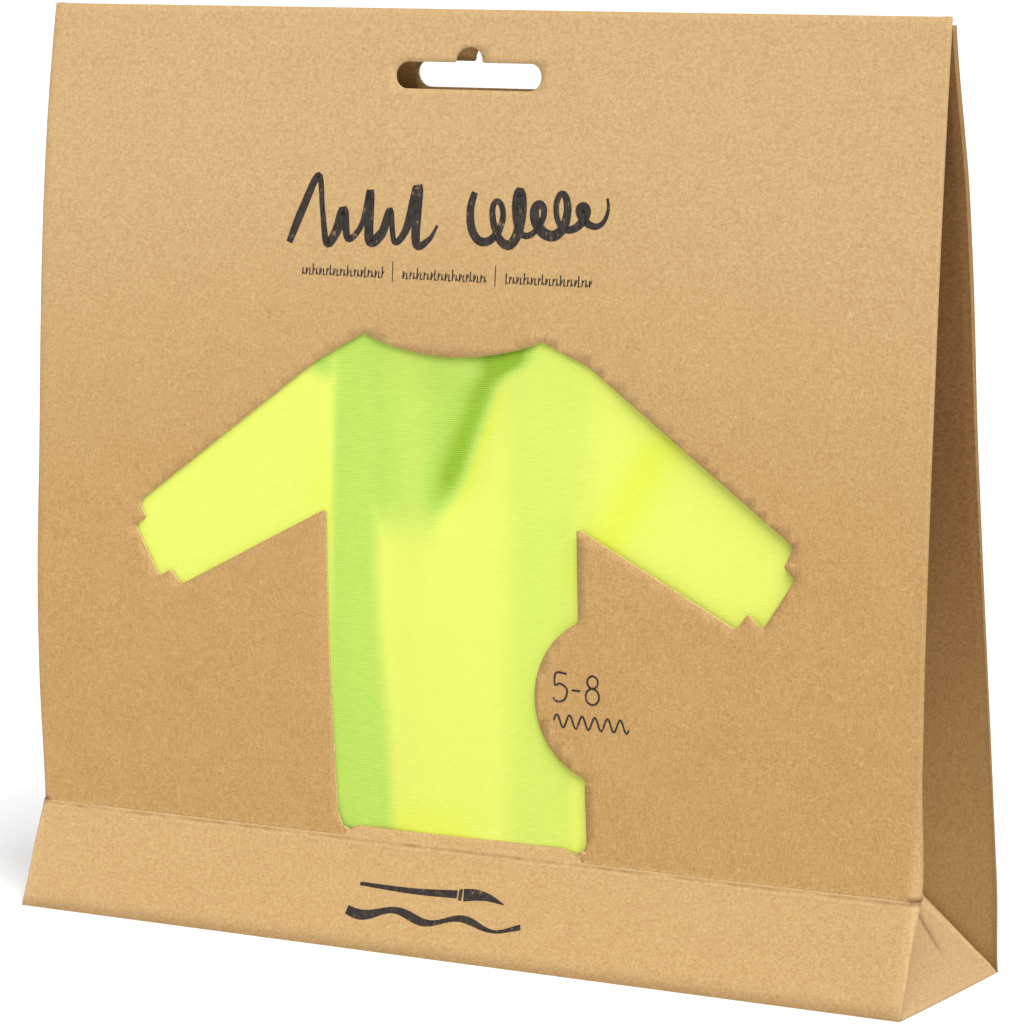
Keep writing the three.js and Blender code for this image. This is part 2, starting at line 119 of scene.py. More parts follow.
CAMERA_AT = (0.4405, -0.7689, 0.2071)  # metres
CAMERA_DIP, CAMERA_TURN = 7.85, 29.59  # degrees
LENS = 161.0
WORLD_STRENGTH = 0.10


def place_camera():
    data = bpy.data.cameras.new("camera")
    data.sensor_width = 36.0
    data.lens = LENS
    data.clip_start = 0.05
    camera = bpy.data.objects.new("camera", data)
    camera.location = CAMERA_AT
    camera.rotation_euler = Euler((math.radians(90 - CAMERA_DIP), 0, math.radians(CAMERA_TURN)))
    bpy.context.scene.collection.objects.link(camera)
    bpy.context.scene.camera = camera


def sun(name, from_direction, strength, softness):
    """A broad even light; strength 1 lights a white surface that faces it to white."""
    data = bpy.data.lights.new(name, "SUN")
    data.energy = strength * math.pi
    data.angle = math.radians(softness)
    lamp = bpy.data.objects.new(name, data)
    lamp.rotation_euler = Vector(from_direction).to_track_quat("Z", "Y").to_euler()
    bpy.context.scene.collection.objects.link(lamp)


def light_scene():
    world = bpy.data.worlds.new("studio")
    world.use_nodes = True
    background = world.node_tree.nodes["Background"]
    background.inputs["Color"].default_value = (1, 1, 1, 1)
    background.inputs["Strength"].default_value = WORLD_STRENGTH
    bpy.context.scene.world = world
    sun("key", (-0.62, -0.62, 0.50), 0.10, 50)
    sun("top", (0.44, -0.46, 0.77), 1.14, 50)
    sun("overhead", (0.0, 0.0, 1.0), 0.12, 60)
    sun("back", (-0.35, 0.70, 0.62), 0.28, 60)
    bpy.context.scene.view_settings.view_transform = "Standard"


def floor():
    bpy.ops.mesh.primitive_plane_add(size=60, location=(0, 0, 0))
    ground = bpy.context.active_object
    ground.name = "floor"
    material = bpy.data.materials.new("floor")
    material.use_nodes = True
    shader = material.node_tree.nodes["Principled BSDF"]
    shader.inputs["Base Color"].default_value = (0.9, 0.9, 0.9, 1)
    shader.inputs["Roughness"].default_value = 0.9
    shader.inputs["Specular IOR Level"].default_value = 0.0
    ground.data.materials.append(material)


# ---------- node material helpers ----------


class Nodes:
    """A short way to write a node tree: one method for each kind of node that is used here. An
    input is a number, a colour or another node's output."""

    def __init__(self, name):
        self.material = bpy.data.materials.new(name)
        self.material.use_nodes = True
        self.tree = self.material.node_tree
        self.shader = self.tree.nodes["Principled BSDF"]
        self.coords = self.tree.nodes.new("ShaderNodeTexCoord").outputs["Object"]

    def put(self, socket, value):
        if isinstance(value, bpy.types.NodeSocket):
            self.tree.links.new(value, socket)
        else:
            socket.default_value = value

    def add(self, kind, inputs=None, **settings):
        node = self.tree.nodes.new("ShaderNode" + kind)
        for key, value in settings.items():
            setattr(node, key, value)
        for key, value in (inputs or {}).items():
            self.put(node.inputs[key], value)
        return node

    def math(self, operation, a, b=0.0, clamp=False):
        return self.add("Math", {0: a, 1: b}, operation=operation, use_clamp=clamp).outputs[0]

    def times(self, a, b):
        return self.math("MULTIPLY", a, b)

    def plus(self, a, b):
        return self.math("ADD", a, b)

    def waves(self, place, pitch):
        return self.math("SINE", self.times(place, 2 * math.pi / pitch))

    def scaled(self, x, y, z):
        return self.add("Mapping", {"Vector": self.coords, "Scale": (x, y, z)}).outputs[0]

    def axes(self):
        return self.add("SeparateXYZ", {0: self.coords}).outputs

    def noise(self, vector, scale, detail=2.0, rough=0.5, distortion=0.0):
        inputs = {"Vector": vector, "Scale": scale, "Detail": detail, "Roughness": rough}
        return self.add("TexNoise", {**inputs, "Distortion": distortion}).outputs["Fac"]

    def ramp(self, value, low, high, to_low=0.0, to_high=1.0):
        inputs = {"Value": value, "From Min": low, "From Max": high}
        inputs.update({"To Min": to_low, "To Max": to_high})
        return self.add("MapRange", inputs, interpolation_type="SMOOTHSTEP").outputs["Result"]

    def mix(self, share, a, b):
        inputs = {"Factor": share, "A": a, "B": b}
        return self.add("Mix", inputs, data_type="RGBA").outputs["Result"]

    def bump(self, height, strength, distance):
        node = self.add("Bump", {"Height": height, "Strength": strength, "Distance": distance})
        self.put(self.shader.inputs["Normal"], node.outputs["Normal"])

    def attribute(self, name):
        return self.add("Attribute", attribute_name=name).outputs["Fac"]

    def finish(self, color, roughness, **sockets):
        self.put(self.shader.inputs["Base Color"], color)
        self.put(self.shader.inputs["Roughness"], roughness)
        for key, value in sockets.items():
            self.shader.inputs[key.replace("_", " ")].default_value = value
        return self.material


def rgb(r, g, b):
    return (r, g, b, 1.0)


def hair_lines(n, vector, scale, width, patch_scale, patch_low):
    """Thin curly fibres: contour lines of a noise field, broken up by a second one."""
    field = n.noise(vector, scale, detail=1.0, distortion=0.6)
    off = n.math("ABSOLUTE", n.math("SUBTRACT", field, 0.5))
    line = n.ramp(off, 0.0, width, 1.0, 0.0)
    patch = n.ramp(n.noise(vector, patch_scale, detail=0.0), patch_low, patch_low + 0.04)
    return n.times(line, patch)


KRAFT_RGB, KRAFT_PALING = (0.498, 0.300, 0.111), (0.60, 0.95, 1.5)
# Painted sheen: paler board where a panel leans back to the light above.
PALE_BOARD = rgb(0.60, 0.44, 0.24), rgb(0.78, 0.62, 0.38)
# Painted shade: darker board in grooves, deep folds and fold edges turned from the light.
PAINTED_SHADE_BOARD = rgb(0.115, 0.046, 0.014), rgb(0.185, 0.084, 0.032)
# Rubbed board and painted highlight: paler on folds, creases and embossed lines.
WEAR_AND_HIGHLIGHT_BOARD = rgb(0.75, 0.53, 0.28)


def board_rgb(tint, strength):
    """Kraft brown, paler and less red as its strength grows."""
    pale = strength - 1.0
    return rgb(*(
        min(level * tint * (1 + gain * pale), 0.9) for level, gain in zip(KRAFT_RGB, KRAFT_PALING)
    ))


def kraft_material(name, tint=1.0, wear_and_painted_light=True, gloss=0.35):
    """Uncoated brown board: mottled pulp, short curly fibres, a few dark flecks. With its switch
    for marks on, it also reads three marks of the mesh: "pale", a painted sheen; "shade", painted
    shade; and a third for rubbing and painted highlight."""
    n = Nodes(name)
    cloud = n.noise(n.coords, 120, detail=5.0, rough=0.65)
    pulp = n.noise(n.scaled(0.7, 0.7, 1.0), 1750, detail=3.0, rough=0.7, distortion=0.5)
    grain = n.noise(n.scaled(0.6, 0.6, 1.0), 3800, detail=2.0, rough=0.8)
    streak = n.noise(n.scaled(1.4, 1.4, 0.36), 2300, detail=2.0, rough=0.65, distortion=0.4)
    light_fibre = hair_lines(n, n.scaled(0.75, 0.75, 1), 480, 0.014, 900, 0.50)
    long_fibre = hair_lines(n, n.scaled(1, 1, 1), 260, 0.004, 420, 0.57)
    dark_fibre = hair_lines(n, n.scaled(0.8, 0.8, 1), 420, 0.010, 700, 0.56)
    fleck = n.ramp(n.noise(n.scaled(0.7, 0.7, 1), 1500, detail=1.0), 0.78, 0.84)
    color = n.mix(n.ramp(cloud, 0.2, 0.8), board_rgb(tint, 0.88), board_rgb(tint, 1.0))
    for share, strength in (
        (n.ramp(pulp, 0.32, 0.72, 0.0, 0.55), 1.25),
        (n.ramp(pulp, 0.20, 0.46, 0.30, 0.0), 0.60),
        (n.ramp(streak, 0.50, 0.74, 0.0, 0.60), 1.30),
        (n.ramp(streak, 0.26, 0.48, 0.50, 0.0), 0.58),
        (n.ramp(grain, 0.30, 0.54, 0.55, 0.0), 0.50),
        (n.times(light_fibre, 0.58), 1.42),
        (n.times(long_fibre, 0.5), 1.5),
        (n.times(dark_fibre, 0.30), 0.55),
        (n.times(fleck, 0.55), 0.40),
    ):
        color = n.mix(share, color, board_rgb(tint, strength))
    if wear_and_painted_light:
        mottle = n.ramp(pulp, 0.3, 0.7)
        # Painted sheen from the mesh's pale mark.
        color = n.mix(n.attribute("pale"), color, n.mix(mottle, *PALE_BOARD))
        # Rubbing and painted highlight from the mesh's mark for them.
        worn_and_highlit = n.times(n.attribute("wear_and_highlight"), n.ramp(pulp, 0.25, 0.6, 0.35, 1.0))
        color = n.mix(n.times(worn_and_highlit, 0.5), color, WEAR_AND_HIGHLIGHT_BOARD)
        # Painted shade from the mesh's shade mark.
        painted_shade = n.times(n.attribute("shade"), 0.85)
        color = n.mix(painted_shade, color, n.mix(mottle, *PAINTED_SHADE_BOARD))
    height = n.plus(n.times(pulp, 0.8), n.times(light_fibre, 0.35))
    n.bump(n.plus(height, n.times(grain, 0.35)), 0.55, 0.00016)
    rough = n.ramp(pulp, 0.3, 0.7, 0.64, 0.8)
    return n.finish(color, rough, Specular_IOR_Level=gloss)


def cut_edge_material():
    n = Nodes("board_cut_edge")
    plies = n.noise(n.scaled(1, 1, 1), 2600, detail=2.0)
    tuft = n.noise(n.coords, 900, detail=3.0, rough=0.7)
    color = n.mix(n.ramp(plies, 0.35, 0.65), rgb(0.50, 0.33, 0.16), rgb(0.70, 0.52, 0.31))
    color = n.mix(n.ramp(tuft, 0.55, 0.7, 0.0, 0.5), color, rgb(0.80, 0.66, 0.46))
    n.bump(tuft, 0.5, 0.0001)
    return n.finish(color, 0.9, Specular_IOR_Level=0.2)


def ink_material():
    n = Nodes("print_ink")
    grain = n.noise(n.scaled(1.0, 1.0, 0.35), 1500, detail=3.0, rough=0.7)
    starve = n.noise(n.coords, 700, detail=2.0, rough=0.7)
    gaps = n.times(n.ramp(starve, 0.56, 0.7), n.ramp(grain, 0.45, 0.6))
    color = n.mix(n.ramp(grain, 0.35, 0.7), rgb(0.020, 0.016, 0.014), rgb(0.050, 0.038, 0.030))
    color = n.mix(n.times(gaps, 0.75), color, rgb(0.30, 0.19, 0.09))
    n.bump(grain, 0.25, 0.00008)
    return n.finish(color, 0.7, Specular_IOR_Level=0.3)


RIB_PITCH = 0.42 * MM
WALE_PITCH = 0.40 * MM
# Painted light and shade on the front cloth: a more saturated yellow where light comes through, a
# greener shade in its folds and a darker green in the deepest fold.
RICH_CLOTH = rgb(0.66, 0.75, 0.034), rgb(0.71, 0.79, 0.048)
FOLD_SHADE_CLOTH = rgb(0.35, 0.555, 0.062), rgb(0.50, 0.705, 0.115)
DEEP_FOLD_SHADE_CLOTH = rgb(0.19, 0.36, 0.010), rgb(0.31, 0.52, 0.018)


def cloth_material(name, base, deep, with_painted_light=False):
    """Thin polyester with a fine cross rib and finer wales, seen best where it is in shade.
    When told to, it reads two marks of the mesh: the painted shade of its folds, where 1 is the
    greener cloth in a fold and 2 the deepest, and "rich", painted light for a more saturated
    yellow."""
    n = Nodes(name)
    bend = n.noise(n.coords, 90, detail=1.0)
    axes = n.axes()
    drift = n.times(bend, 0.0007)
    rib = n.waves(n.plus(axes["Z"], drift), RIB_PITCH)
    wale = n.waves(n.plus(axes["X"], drift), WALE_PITCH)
    uneven = n.noise(n.scaled(0.25, 1, 1), 1400, detail=1.0)
    weave = n.plus(n.times(rib, 0.6), n.times(wale, 0.25))
    weave = n.plus(weave, n.ramp(uneven, 0.3, 0.7, -0.15, 0.15))
    share = n.ramp(weave, -0.9, 0.9)
    slub = n.ramp(n.noise(n.scaled(0.15, 1, 2.5), 240, detail=2.0), 0.35, 0.65)
    color = n.mix(share, deep, base)
    color = n.mix(n.times(slub, 0.05), color, deep)
    if with_painted_light:
        # Painted light from the rich mark, then painted shade from the fold mark: greener, then
        # darker green.
        fold_shade = n.attribute("fold_shade")
        color = n.mix(n.attribute("rich"), color, n.mix(share, *RICH_CLOTH))
        color = n.mix(n.math("MINIMUM", fold_shade, 1.0), color, n.mix(share, *FOLD_SHADE_CLOTH))
        beyond = n.math("SUBTRACT", fold_shade, 1.0, clamp=True)
        color = n.mix(beyond, color, n.mix(share, *DEEP_FOLD_SHADE_CLOTH))
    n.bump(weave, 0.35, 0.00006)
    return n.finish(
        color, 0.72, Specular_IOR_Level=0.3, Sheen_Weight=0.25, Sheen_Roughness=0.5,
    )


def plain_weave_material(name, base, deep, pitch):
    """Threads over and under each other, with a little fuzz on them."""
    n = Nodes(name)
    axes = n.axes()
    weave = n.times(n.waves(axes["Z"], pitch), n.waves(axes["X"], pitch))
    fuzz = n.noise(n.coords, 2200, detail=3.0, rough=0.7)
    color = n.mix(n.ramp(weave, -0.6, 0.6), deep, base)
    color = n.mix(n.ramp(fuzz, 0.5, 0.7, 0.0, 0.4), color, deep)
    n.bump(n.plus(weave, fuzz), 0.5, 0.00015)
    return n.finish(color, 0.85, Specular_IOR_Level=0.2, Sheen_Weight=0.2)


KRAFT = kraft_material("kraft_outside")
KRAFT_IN = kraft_material("kraft_inside", tint=0.93)
# The side folds' board is a darker copy of the kraft: painted shade for the deep folds.
KRAFT_SIDE_SHADED = kraft_material("kraft_side_shaded", tint=0.66, gloss=0.05)
KRAFT_FLAT = kraft_material("kraft_base", wear_and_painted_light=False)
CUT = cut_edge_material()
INK = ink_material()
NEON = cloth_material("neon_cloth", rgb(0.73, 1.0, 0.135), rgb(0.52, 0.86, 0.075))
# The front cloth paints light and shade from its mesh marks.
NEON_FACE = cloth_material(
    "neon_cloth_face", rgb(0.725, 0.80, 0.132), rgb(0.69, 0.775, 0.115), with_painted_light=True
)
NEON_RIB = cloth_material("neon_binding", rgb(0.70, 0.97, 0.12), rgb(0.46, 0.78, 0.06))
ELASTIC = plain_weave_material("elastic", rgb(0.86, 0.86, 0.80), rgb(0.55, 0.55, 0.50), 0.9 * MM)
TAPE = plain_weave_material("touch_tape", rgb(0.62, 0.86, 0.10), rgb(0.30, 0.50, 0.05), 0.8 * MM)
SATIN = plain_weave_material("label_satin", rgb(0.90, 0.90, 0.87), rgb(0.74, 0.74, 0.71), 0.35 * MM)


# ---------- mesh helpers ----------


def smoothstep(low, high, value):
    t = np.clip((np.asarray(value, float) - low) / (high - low), 0.0, 1.0)
    return t * t * (3 - 2 * t)


def ease(low, high, value):
    """smoothstep for one number."""
    return float(smoothstep(low, high, value))


def peak(offset, width):
    """1 where offset is 0, falling away smoothly over width on both sides."""
    return math.exp(-((offset / width) ** 2))


def wobble(x, y, z, scale, amount):
    """Smooth repeatable noise in millimetres."""
    return amount * noise.noise(Vector((x / scale, y / scale, z / scale)))


def grid_surface(points):
    """Vertices and faces of a (rows, columns, 3) array."""
    points = np.asarray(points, float)
    rows, columns, _ = points.shape
    corners = [r * columns + c for r in range(rows - 1) for c in range(columns - 1)]
    return points.reshape(-1, 3), [(i, i + 1, i + columns + 1, i + columns) for i in corners]


def join_surfaces(*surfaces):
    verts, faces, start = [], [], 0
    for points, quads in surfaces:
        verts.append(points)
        faces += [tuple(i + start for i in face) for face in quads]
        start += len(points)
    return np.concatenate(verts), faces


def plain_bmesh(surface):
    """A bmesh in metres from vertices in millimetres and faces."""
    verts, faces = surface
    bm = bmesh.new()
    made = [bm.verts.new(v * MM) for v in verts]
    for face in faces:
        bm.faces.new([made[i] for i in face])
    bm.normal_update()
    return bm


def welded_bmesh(surface, outside):
    """The same, welded, with faces that look the way the vector `outside` points."""
    bm = plain_bmesh(surface)
    bmesh.ops.remove_doubles(bm, verts=bm.verts, dist=2e-6)
    bmesh.ops.dissolve_degenerate(bm, edges=bm.edges, dist=1e-7)
    bmesh.ops.recalc_face_normals(bm, faces=bm.faces)
    bm.normal_update()
    total = sum((f.normal * f.calc_area() for f in bm.faces), Vector())
    if total.dot(Vector(outside)) < 0:
        bmesh.ops.reverse_faces(bm, faces=bm.faces)
        bm.normal_update()
    return bm


def new_object(name, bm, materials):
    mesh = bpy.data.meshes.new(name)
    bm.to_mesh(mesh)
    bm.free()
    for material in materials:
        mesh.materials.append(material)
    mesh.polygons.foreach_set("use_smooth", [True] * len(mesh.polygons))
    piece = bpy.data.objects.new(name, mesh)
    bpy.context.scene.collection.objects.link(piece)
    return piece


def add_marks(piece, places, marks):
    """Point attributes from functions of a point in millimetres, or 0 where there is none."""
    for key, function in marks.items():
        values = [function(*p) if function else 0.0 for p in places]
        piece.data.attributes.new(key, "FLOAT", "POINT").data.foreach_set("value", values)


def board_piece(name, surface, outside, cut=None, wear_and_highlight=None, shade=None, pale=None,
                material=KRAFT):
    """A sheet of board: `surface` is its outer face, its thickness goes inwards. Rim faces for
    which cut(x, y, z) is true, or all of them, show the pale cut edge. Its three marks are
    functions of a point in millimetres, from 0 to 1: rubbing and painted highlight, shade for
    painted shade, and pale for painted sheen."""
    bm = welded_bmesh(surface, outside)
    outer = list(bm.faces)
    normals = {v: v.normal.copy() for v in bm.verts}
    rim_edges = [e for e in bm.edges if e.is_boundary]
    inner = {v: bm.verts.new(v.co - normals[v] * BOARD * MM) for v in list(normals)}
    for face in outer:
        twin = bm.faces.new([inner[v] for v in reversed(face.verts)])
        twin.material_index = 1
    for edge in rim_edges:
        loop = edge.link_loops[0]
        a, b = loop.vert, loop.link_loop_next.vert
        rim = bm.faces.new([b, a, inner[a], inner[b]])
        middle = (a.co + b.co) / 2 / MM
        rim.material_index = 2 if cut is None or cut(*middle) else 0
        rim.smooth = False
    places = [v.co / MM for v in bm.verts]
    piece = new_object(name, bm, [material, KRAFT_IN, CUT])
    add_marks(piece, places, {"wear_and_highlight": wear_and_highlight, "shade": shade, "pale": pale})
    for polygon in piece.data.polygons:
        if polygon.material_index == 2:
            polygon.use_smooth = False
    return piece


# ---------- the sack's surfaces ----------


def front_share(z):
    """0 at the foot crease and below, 1 at the top of the front panel."""
    return np.clip((np.asarray(z, float) - CREASE_Z) / (TOP_Z - CREASE_Z), 0, 1)


def front_edge_y(s, foot, lean, curve):
    return FRONT_Y + foot + lean * s**curve


def front_y(x, z):
    """The outer face of the front panel: its right edge leans back along a gentle curve, its
    left edge stands upright first and leans back above its middle."""
    s = front_share(z)
    right = front_edge_y(s, *RIGHT_EDGE)
    left = front_edge_y(s, *LEFT_EDGE) - 0.9 * np.sin(math.pi * np.minimum(s / 0.5, 1)) ** 2
    u = smoothstep(-HALF * 1.2, HALF * 1.2, x)
    rows = left + (right - left) * u
    blend_in = smoothstep(0.0, 0.05, s)
    return rows * blend_in + CREASE_Y * (1 - blend_in)


def back_y(x, z):
    """The outer face of the back panel: full in its middle, and a little less at its edges,
    which come back to a straight lean at the foot and at the top."""
    z = np.asarray(z, float)
    edgeways = (np.asarray(x, float) / HALF) ** 2
    edge = REAR_Y - BACK_LEAN * z / BACK_Z
    full = 2.0 * smoothstep(0, 110, z) * (1 - edgeways)
    stand = 1.5 * smoothstep(0, 18, z) + 1.3 * smoothstep(100, 140, z)
    return edge + full + stand * (1 - smoothstep(148, BACK_Z, z)) * edgeways


def foot_y(z):
    return FRONT_Y + (CREASE_Y - FRONT_Y) * np.asarray(z, float) / CREASE_Z


def fold_radius(z):
    return FOLD_RADIUS + (FOOT_FOLD - FOLD_RADIUS) * (1 - smoothstep(CREASE_Z, FOOT_FOLD_TOP, z))


def crease_middle(z):
    """(x, y) of the middle crease of the right side's fold."""
    s = np.clip((np.asarray(z, float) - APEX_Z) / (TOP_Z - APEX_Z), 0, 1)
    x = HALF - 10.0 - 12.4 * np.sin(math.pi / 2 * s)
    y = (front_y(HALF, z) + back_y(HALF, z)) / 2
    return x, y


# ---------- outlines in the plane of the front panel: (x, z) ----------


def rounded(corners):
    """A polyline through corners (x, z, radius), with an arc at each inner corner that has a
    radius."""
    points = [corners[0][:2]]
    for before, corner, after in zip(corners, corners[1:], corners[2:]):
        p = np.array(corner[:2], float)
        a = np.array(before[:2], float) - p
        b = np.array(after[:2], float) - p
        la, lb = np.linalg.norm(a), np.linalg.norm(b)
        a, b = a / la, b / lb
        half_angle = math.acos(np.clip(a @ b, -1, 1)) / 2
        radius = corner[2]
        reach = radius / max(math.tan(half_angle), 1e-6)
        if radius <= 0 or reach < 0.02:
            points.append(tuple(p))
            continue
        reach = min(reach, 0.48 * la, 0.48 * lb)
        radius = reach * math.tan(half_angle)
        centre = p + (a + b) / np.linalg.norm(a + b) * radius / math.sin(half_angle)
        start, end = p + a * reach - centre, p + b * reach - centre
        t0, t1 = math.atan2(start[1], start[0]), math.atan2(end[1], end[0])
        sweep = (t1 - t0 + math.pi) % (2 * math.pi) - math.pi
        for k in range(ARC_STEPS + 1):
            t = t0 + sweep * k / ARC_STEPS
            points.append((centre[0] + radius * math.cos(t), centre[1] + radius * math.sin(t)))
    points.append(corners[-1][:2])
    return points


def finer(points, step):
    """The same polyline with no piece longer than step."""
    out = [points[0]]
    for a, b in zip(points, points[1:]):
        a, b = np.array(a, float), np.array(b, float)
        n = max(1, math.ceil(np.linalg.norm(b - a) / step))
        out += [tuple(a + (b - a) * k / n) for k in range(1, n + 1)]
    return out


def window_left():
    """From the crease up the left of the body, round the left sleeve to the left shoulder."""
    return rounded([
        (-25.3, CREASE_Z, 0), (-27.2, 25.4, 3.0), (-28.4, 48.0, 20), (-29.9, 85.2, 0.5),
        (-63.2, 67.9, 1.3), (-65.8, 70.7, 0.4), (-68.4, 69.2, 0.9), (-74.3, 79.0, 0.5),
        (-71.9, 81.0, 0.4), (-73.6, 83.9, 1.8), (-33.0, 114.0, 14), (-21.9, 120.3, 0.6),
        (-20.0, 119.2, 0),
    ])


def window_right():
    """From the right shoulder round the right sleeve to the right armpit."""
    return rounded([
        (15.4, 119.4, 0), (16.9, 120.3, 0.7), (27.5, 115.8, 14), (71.6, 84.6, 2.0),
        (69.5, 80.9, 0.4), (71.9, 78.7, 0.5), (65.4, 68.7, 0.9), (62.3, 71.6, 0.4),
        (59.9, 68.3, 1.2), (25.8, 85.1, 0.5), (26.1, 78.0, 0),
    ])


def neck_line():
    """The neck's shallow curve between the shoulders, without its ends."""
    left, right, low = np.array([-20.0, 119.2]), np.array([15.4, 119.4]), 116.3
    control = np.array([-3.2, 2 * low - (left[1] + right[1]) / 2])
    shares = [k / 24 for k in range(1, 24)]
    return [tuple(left * (1 - t) ** 2 + 2 * control * t * (1 - t) + right * t**2) for t in shares]


def disc_line():
    """The round tab's outline, from where it meets the body's right line at its top."""
    top = math.acos((26.6 - DISC_X) / DISC_RADIUS)
    bottom = 2 * math.pi - math.acos((28.3 - DISC_X) / DISC_RADIUS)
    turns = [top + (bottom - top) * k / 40 for k in range(41)]
    return [(DISC_X + DISC_RADIUS * math.cos(t), DISC_Z + DISC_RADIUS * math.sin(t)) for t in turns]


def half_turn(centre, reach, start, twelfths):
    """Points on half an ellipse, at the given twelfths of it."""
    (x, z), (reach_x, reach_z) = centre, reach
    turns = [start + math.pi * k / 12 for k in twelfths]
    return [(x + reach_x * math.cos(t), z + reach_z * math.sin(t)) for t in turns]


def slot_loop():
    """A euro slot round DIE_X, SLOT_Z: round ends, and a dome in the middle of its top."""
    straight, top = SLOT_HALF - SLOT_RADIUS, SLOT_Z + SLOT_RADIUS
    left, right, nick = DIE_X - straight, DIE_X + straight, 0.3
    end = (SLOT_RADIUS, SLOT_RADIUS)
    points = [(left, SLOT_Z - SLOT_RADIUS), (right, SLOT_Z - SLOT_RADIUS)]
    points += half_turn((right, SLOT_Z), end, -math.pi / 2, range(1, 12))
    points += [(right, top), (DIE_X + DOME_HALF + nick, top)]
    points += half_turn((DIE_X, top + nick), (DOME_HALF, DOME_RISE - nick), 0, range(13))
    points += [(DIE_X - DOME_HALF - nick, top), (left, top)]
    points += half_turn((left, SLOT_Z), end, math.pi / 2, range(1, 12))
    return finer(points + [points[0]], 1.5)[:-1]


def inside_loop(points, loop):
    """For each point, whether it lies inside the closed loop."""
    points, loop = np.asarray(points, float), np.asarray(loop, float)
    x, y = points[:, 0], points[:, 1]
    inside = np.zeros(len(points), bool)
    for (x0, y0), (x1, y1) in zip(loop, np.roll(loop, -1, axis=0)):
        crosses = (y0 > y) != (y1 > y)
        with np.errstate(divide="ignore", invalid="ignore"):
            at = x0 + (y - y0) * (x1 - x0) / (y1 - y0)
        inside ^= crosses & (x < at)
    return inside


def far_from_loop(points, loop, distance):
    """For each point, whether it is further than distance from every edge of the loop."""
    points, loop = np.asarray(points, float), np.asarray(loop, float)
    far = np.ones(len(points), bool)
    for a, b in zip(loop, np.roll(loop, -1, axis=0)):
        d = b - a
        t = np.clip(((points - a) @ d) / max(d @ d, 1e-12), 0, 1)
        far &= np.linalg.norm(points - (a + t[:, None] * d), axis=1) > distance
    return far


def flat_mesh(outline, holes, grid, clear):
    """Triangles in (x, z) inside `outline` and outside `holes`, through the points of `grid`
    that stay clear of those lines."""
    grid = np.asarray(grid, float)
    grid = grid[inside_loop(grid, outline) & far_from_loop(grid, outline, clear)]
    for hole in holes:
        grid = grid[~inside_loop(grid, hole) & far_from_loop(grid, hole, clear)]
    points, edges = [], []
    for loop in [outline, *holes]:
        start, count = len(points), len(loop)
        points += [tuple(p) for p in loop]
        edges += [(start + i, start + (i + 1) % count) for i in range(count)]
    points += [tuple(p) for p in grid]
    made, _, faces, *_ = delaunay_2d_cdt([Vector(p) for p in points], edges, [], 0, 1e-5)
    flat = np.array([tuple(v) for v in made])
    centres = np.array([flat[list(f)].mean(0) for f in faces])
    keep = inside_loop(centres, outline)
    for hole in holes:
        keep &= ~inside_loop(centres, hole)
    return flat, [tuple(f) for f, k in zip(faces, keep) if k]


def grid_points(xs, zs):
    gx, gz = np.meshgrid(xs, zs)
    return np.stack([gx.ravel(), gz.ravel()], 1)


# ---------- embossed foot crease ----------


def crease_lines(x, d):
    """The two embossed lines of the foot crease at distance d below it: the fold itself and a
    second, broken line 1.1 mm lower. Each is from 0 to about 1."""
    if abs(d) > 4.0:
        return 0.0, 0.0
    wander = wobble(x, 0, 3.1, 7.0, 0.22) + wobble(x, 0, 9.7, 1.3, 0.22)
    broken = 0.75 + wobble(x, 5.0, 0, 2.2, 0.9)
    first = peak(d - 0.5 * wander, 0.22)
    second = peak(d - 1.15 - wander, 0.20) * max(broken, 0.0)
    return first, second


def crease_relief(x, d):
    """How far the board stands out at distance d below the foot crease."""
    first, second = crease_lines(x, d)
    return 0.10 * first + 0.20 * second


def front_surface(x, z):
    y = float(front_y(x, z)) - crease_relief(x, CREASE_Z - z)
    return y + wobble(x, 0, z, 45.0, 0.18) * ease(0, 12, z - CREASE_Z)


def back_surface(x, z):
    return float(back_y(x, z)) + wobble(x, 90, z, 50.0, 0.2) * ease(0, 20, z)


def foot_surface(x, z):
    return float(foot_y(z)) - crease_relief(x, CREASE_Z - z) * float(z < CREASE_Z + 0.3)


def turn_towards(side_y, z, toward):
    """The angle a fold turns through at z, from its panel to the side fold's half beside it."""
    mx, my = crease_middle(z)
    return math.pi - math.atan2(toward * float(my - side_y), float(HALF - mx))


def fold_line(side, panel_y, radius, turn, toward):
    """(x, y) from LIP inside the edge, straight, then round the fold. toward is +1 if the fold
    turns back (front panel) and -1 if it turns forward (back panel)."""
    points = [(side * INNER, panel_y)]
    for k in range(FOLD_STEPS + 1):
        a = turn * k / FOLD_STEPS
        x = HALF - radius + radius * math.sin(a)
        points.append((side * x, panel_y + toward * (radius - radius * math.cos(a))))
    return points


def front_rows():
    rows = [CREASE_Z + r for r in CREASE_ROWS]
    return rows + list(np.arange(CREASE_Z + 5.0, TOP_Z - 1.0, 2.0)) + [TOP_Z]


def back_rows():
    return list(np.arange(0.0, BACK_Z - 1.0, 2.5)) + [BACK_Z]


def front_fold(side, z):
    y = front_surface(side * INNER, z)
    return fold_line(side, y, float(fold_radius(z)), turn_towards(y, z, 1), 1)


def foot_fold(side, z):
    y = foot_surface(side * INNER, z)
    return fold_line(side, y, 0.5 + 0.9 * ease(12, CREASE_Z, z), 1.9, 1)


def back_fold(side, z):
    y = back_surface(side * INNER, z)
    return fold_line(side, y, FOLD_RADIUS, turn_towards(y, max(z, APEX_Z), -1), -1)


def panel_outline(rows, foot, top):
    """Along the foot to the right, up the right edge, along the top and down the left edge."""
    return foot + [(INNER, z) for z in rows[:-1]] + top + [(-INNER, z) for z in rows[:0:-1]]


